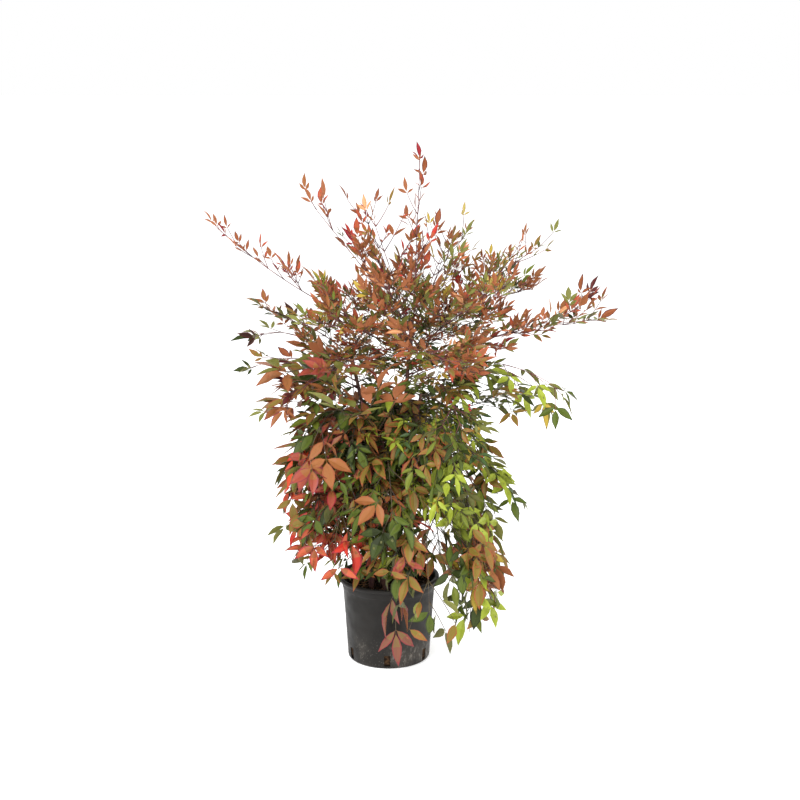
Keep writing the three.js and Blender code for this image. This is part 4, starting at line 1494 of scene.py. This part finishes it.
def stem_tubes(members):
    """Stems up to the last twig that bears.

    Radius: a straight taper + 1.3 exp(-share / 0.03), for the foot that clasps the cane, + 0.25 at every
    fourth station, for the joints.
    """
    shares = np.linspace(0, 1, STEM_STATIONS)
    lines = np.stack([walk(stem["axis"], shares * stem.get("last", 1))[0] for stem in members])
    radius = lerp(*STEM_RADII, shares) + 1.3 * np.exp(-shares / 0.03)
    joints = 0.25 * (np.arange(STEM_STATIONS) % 4 == 0)
    return tubes(lines, np.broadcast_to(radius + joints, lines.shape[:2]), STEM_SIDES)


def twig_tubes(members):
    """Twigs: a straight taper + 0.5 exp(-share / 0.06), swollen where they leave the stem."""
    lines = [twig_lines(stem["twigs"], TWIG_STATIONS)[0][stem["bearing"]] for stem in members]
    lines = np.concatenate(lines)
    shares = np.linspace(0, 1, TWIG_STATIONS)
    radius = lerp(*TWIG_RADII, shares) + 0.5 * np.exp(-shares / 0.06)
    return tubes(lines, np.broadcast_to(radius, lines.shape[:2]), TWIG_SIDES)


def join_twigs(name, members, nodes, look):
    """One piece from the stems and twigs of several sprays."""
    stout, fine = stem_tubes(members), twig_tubes(members)
    piece = build_rings(name, [stout, fine], [look])
    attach(piece, "root")
    if nodes:
        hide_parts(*nodes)
    print(name, len(stout), "stems", len(fine), "twigs", triangles(piece), "triangles")


def twig_finish(name, dark, pale):
    """A stem's skin: two tones in slow patches, and a fine grain."""
    made = Finish(name, dark, 0.5, 0.4)
    made.color(made.mixed(made.range(made.noise(18, 4), 0.35, 0.65), dark, pale))
    made.bump(made.noise(500, 3), 0.3, 0.3)
    return made.material


crown_twig = twig_finish("crown_stem_skin", "42252a", "77423d")
skirt_twig = twig_finish("skirt_stem_skin", "30201b", "52462e")
join_twigs("stems_crown_right", crown_right, right_nodes, crown_twig)
join_twigs("stems_crown_left", crown_left, left_nodes, crown_twig)
join_twigs("stems_skirt", skirt, skirt_nodes, skirt_twig)
join_twigs("stems_inner", shoots, [], skirt_twig)

# %% [markdown]
# ## Berries
# One thin panicle hangs among the leaves, with two small clusters of red berries, each on its own
# short stalk. A berry is a ball a little flattened from top to bottom, so rings at a few polar angles
# are enough.

# %% The berry panicle
BERRY_RADIUS = 3.7
BERRY_SQUASH = 0.93
BERRY_STALK = (0.5, 4, 4)  # radius, stations and sides
BERRY_REACH = (6, 11)  # from the panicle's stem
BERRY_GROUPS = ((0.64, 0.72, 5), (0.93, 1, 4))  # shares of the stem from and to, and berries
BERRY_RINGS = np.radians([12, 38, 66, 94, 122, 150, 170])
BERRY_SIDES = 10
berry_random = np.random.default_rng(23)
berry_stem = next(stem for stem in stems if stem["tint"] == "berries")


def berry_places(line):
    """Stalk roots in two groups near the stem's end, and the berries' middles hanging off them."""
    shares = np.concatenate([lerp(low, high, np.linspace(0, 1, count)) for low, high, count in BERRY_GROUPS])
    root, along = walk(line, shares)
    degrees = GOLDEN_TURN * np.arange(len(shares))
    out = rolled(np.broadcast_to(berry_stem["level"], root.shape), along, degrees)
    reach = berry_random.uniform(*BERRY_REACH, len(shares))[:, None]
    return root, root + unit(out - UP * 0.5) * reach


def balls(middles, radius):
    """Rings at polar angles p: middle + radius (sin p cos t, sin p sin t, cos p), squashed to 0.93."""
    turn = turns(BERRY_SIDES)
    polar = np.pi - BERRY_RINGS
    ring = np.stack(
        [
            np.sin(polar)[:, None] * np.cos(turn),
            np.sin(polar)[:, None] * np.sin(turn),
            np.broadcast_to(np.cos(polar)[:, None] * BERRY_SQUASH, (len(polar), BERRY_SIDES)),
        ],
        axis=-1,
    )
    return middles[:, None, None] + ring * radius


stalk_roots, berry_middles = berry_places(berry_stem["axis"])
berry_skin = Finish("berry_skin", "b3221f", 0.25, 0.5)
berry_skin.color(berry_skin.mixed(berry_skin.range(berry_skin.noise(60, 2), 0.35, 0.65), "8f1a1c", "c5332a"))
berry_skin.bump(berry_skin.noise(700, 2), 0.2, 0.2)
berries = build_rings("berries", [balls(berry_middles, BERRY_RADIUS)], [berry_skin.material])
stalk_radius, stations, stalk_sides = BERRY_STALK
stalk_lines = lerp(stalk_roots[:, None], berry_middles[:, None], np.linspace(0, 1, stations)[:, None])
stalks = tubes(stalk_lines, np.full(stalk_lines.shape[:2], stalk_radius), stalk_sides)
panicle = build_rings("berry_stalks", [stem_tubes([berry_stem]), stalks], [skirt_twig])
for piece in (berries, panicle):
    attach(piece, "root")
    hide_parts("berry_panicle")
print("berries", len(berry_middles))

# %% [markdown]
# ## Floor and light
# The plant stands in a plain white sweep, lit evenly: a bright sky all round, a large soft lamp high
# on the left of the camera, a weaker one on the right and one behind. A curved sweep could be modelled;
# a pale floor that runs on to where the sky takes over shows no edge either.

# %% The floor
FLOOR_HALF = 40000
FLOOR_GLOW = 0.4  # keeps the floor as white as the sky
floor_points = np.array([[-1, -1, 0], [1, -1, 0], [1, 1, 0], [-1, 1, 0]]) * FLOOR_HALF
floor_look = Finish("white_sweep", "f7f7f7", 0.9, 0.1)
floor_look.shader.inputs["Emission Color"].default_value = (1, 1, 1, 1)
floor_look.shader.inputs["Emission Strength"].default_value = FLOOR_GLOW
floor = build_piece("floor", floor_points, [np.array([[0, 1, 2, 3]])], [floor_look.material])
floor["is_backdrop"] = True

# %% The lights
SKY_STRENGTH = 1.0
LAMP_AIM = np.array([0, 0, 0.7])
LAMPS = [  # name, place, size and power
    ("key", (-1.5, -3.2, 3.2), 1.8, 165),
    ("fill", (2.4, -3.2, 1.2), 2.2, 70),
    ("rim", (0.6, 3.0, 3.2), 2.4, 40),
]


def add_lamp(name, place, size, power):
    """A square soft lamp that faces the middle of the plant."""
    data = bpy.data.lights.new(name, "AREA")
    data.size = size
    data.energy = power
    lamp = bpy.data.objects.new(name, data)
    lamp.location = place
    aim = LAMP_AIM - np.array(place)
    flat = np.hypot(aim[0], aim[1])
    lamp.rotation_euler = (np.arctan2(flat, -aim[2]), 0, np.arctan2(aim[1], aim[0]) - np.pi / 2)
    bpy.context.scene.collection.objects.link(lamp)


for row in LAMPS:
    add_lamp(*row)
world = bpy.data.worlds.new("sky")
world.use_nodes = True
background = world.node_tree.nodes["Background"]
background.inputs["Color"].default_value = (1, 1, 1, 1)
background.inputs["Strength"].default_value = SKY_STRENGTH
bpy.context.scene.world = world
bpy.context.scene.view_settings.view_transform = "Standard"
print("lamps", len(LAMPS))

# %% [markdown]
# ## Sizes, and the end
# The finished plant keeps near the CAD model's box, and both boxes are written down together. The
# finished plant has to stay within the CAD model's box.

# %% Sizes and finish
VISUAL_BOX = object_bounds()
for name, box in (("CAD", CAD_BOX), ("visual", VISUAL_BOX)):
    print(name, "box", [[round(value, 3) for value in corner] for corner in box])
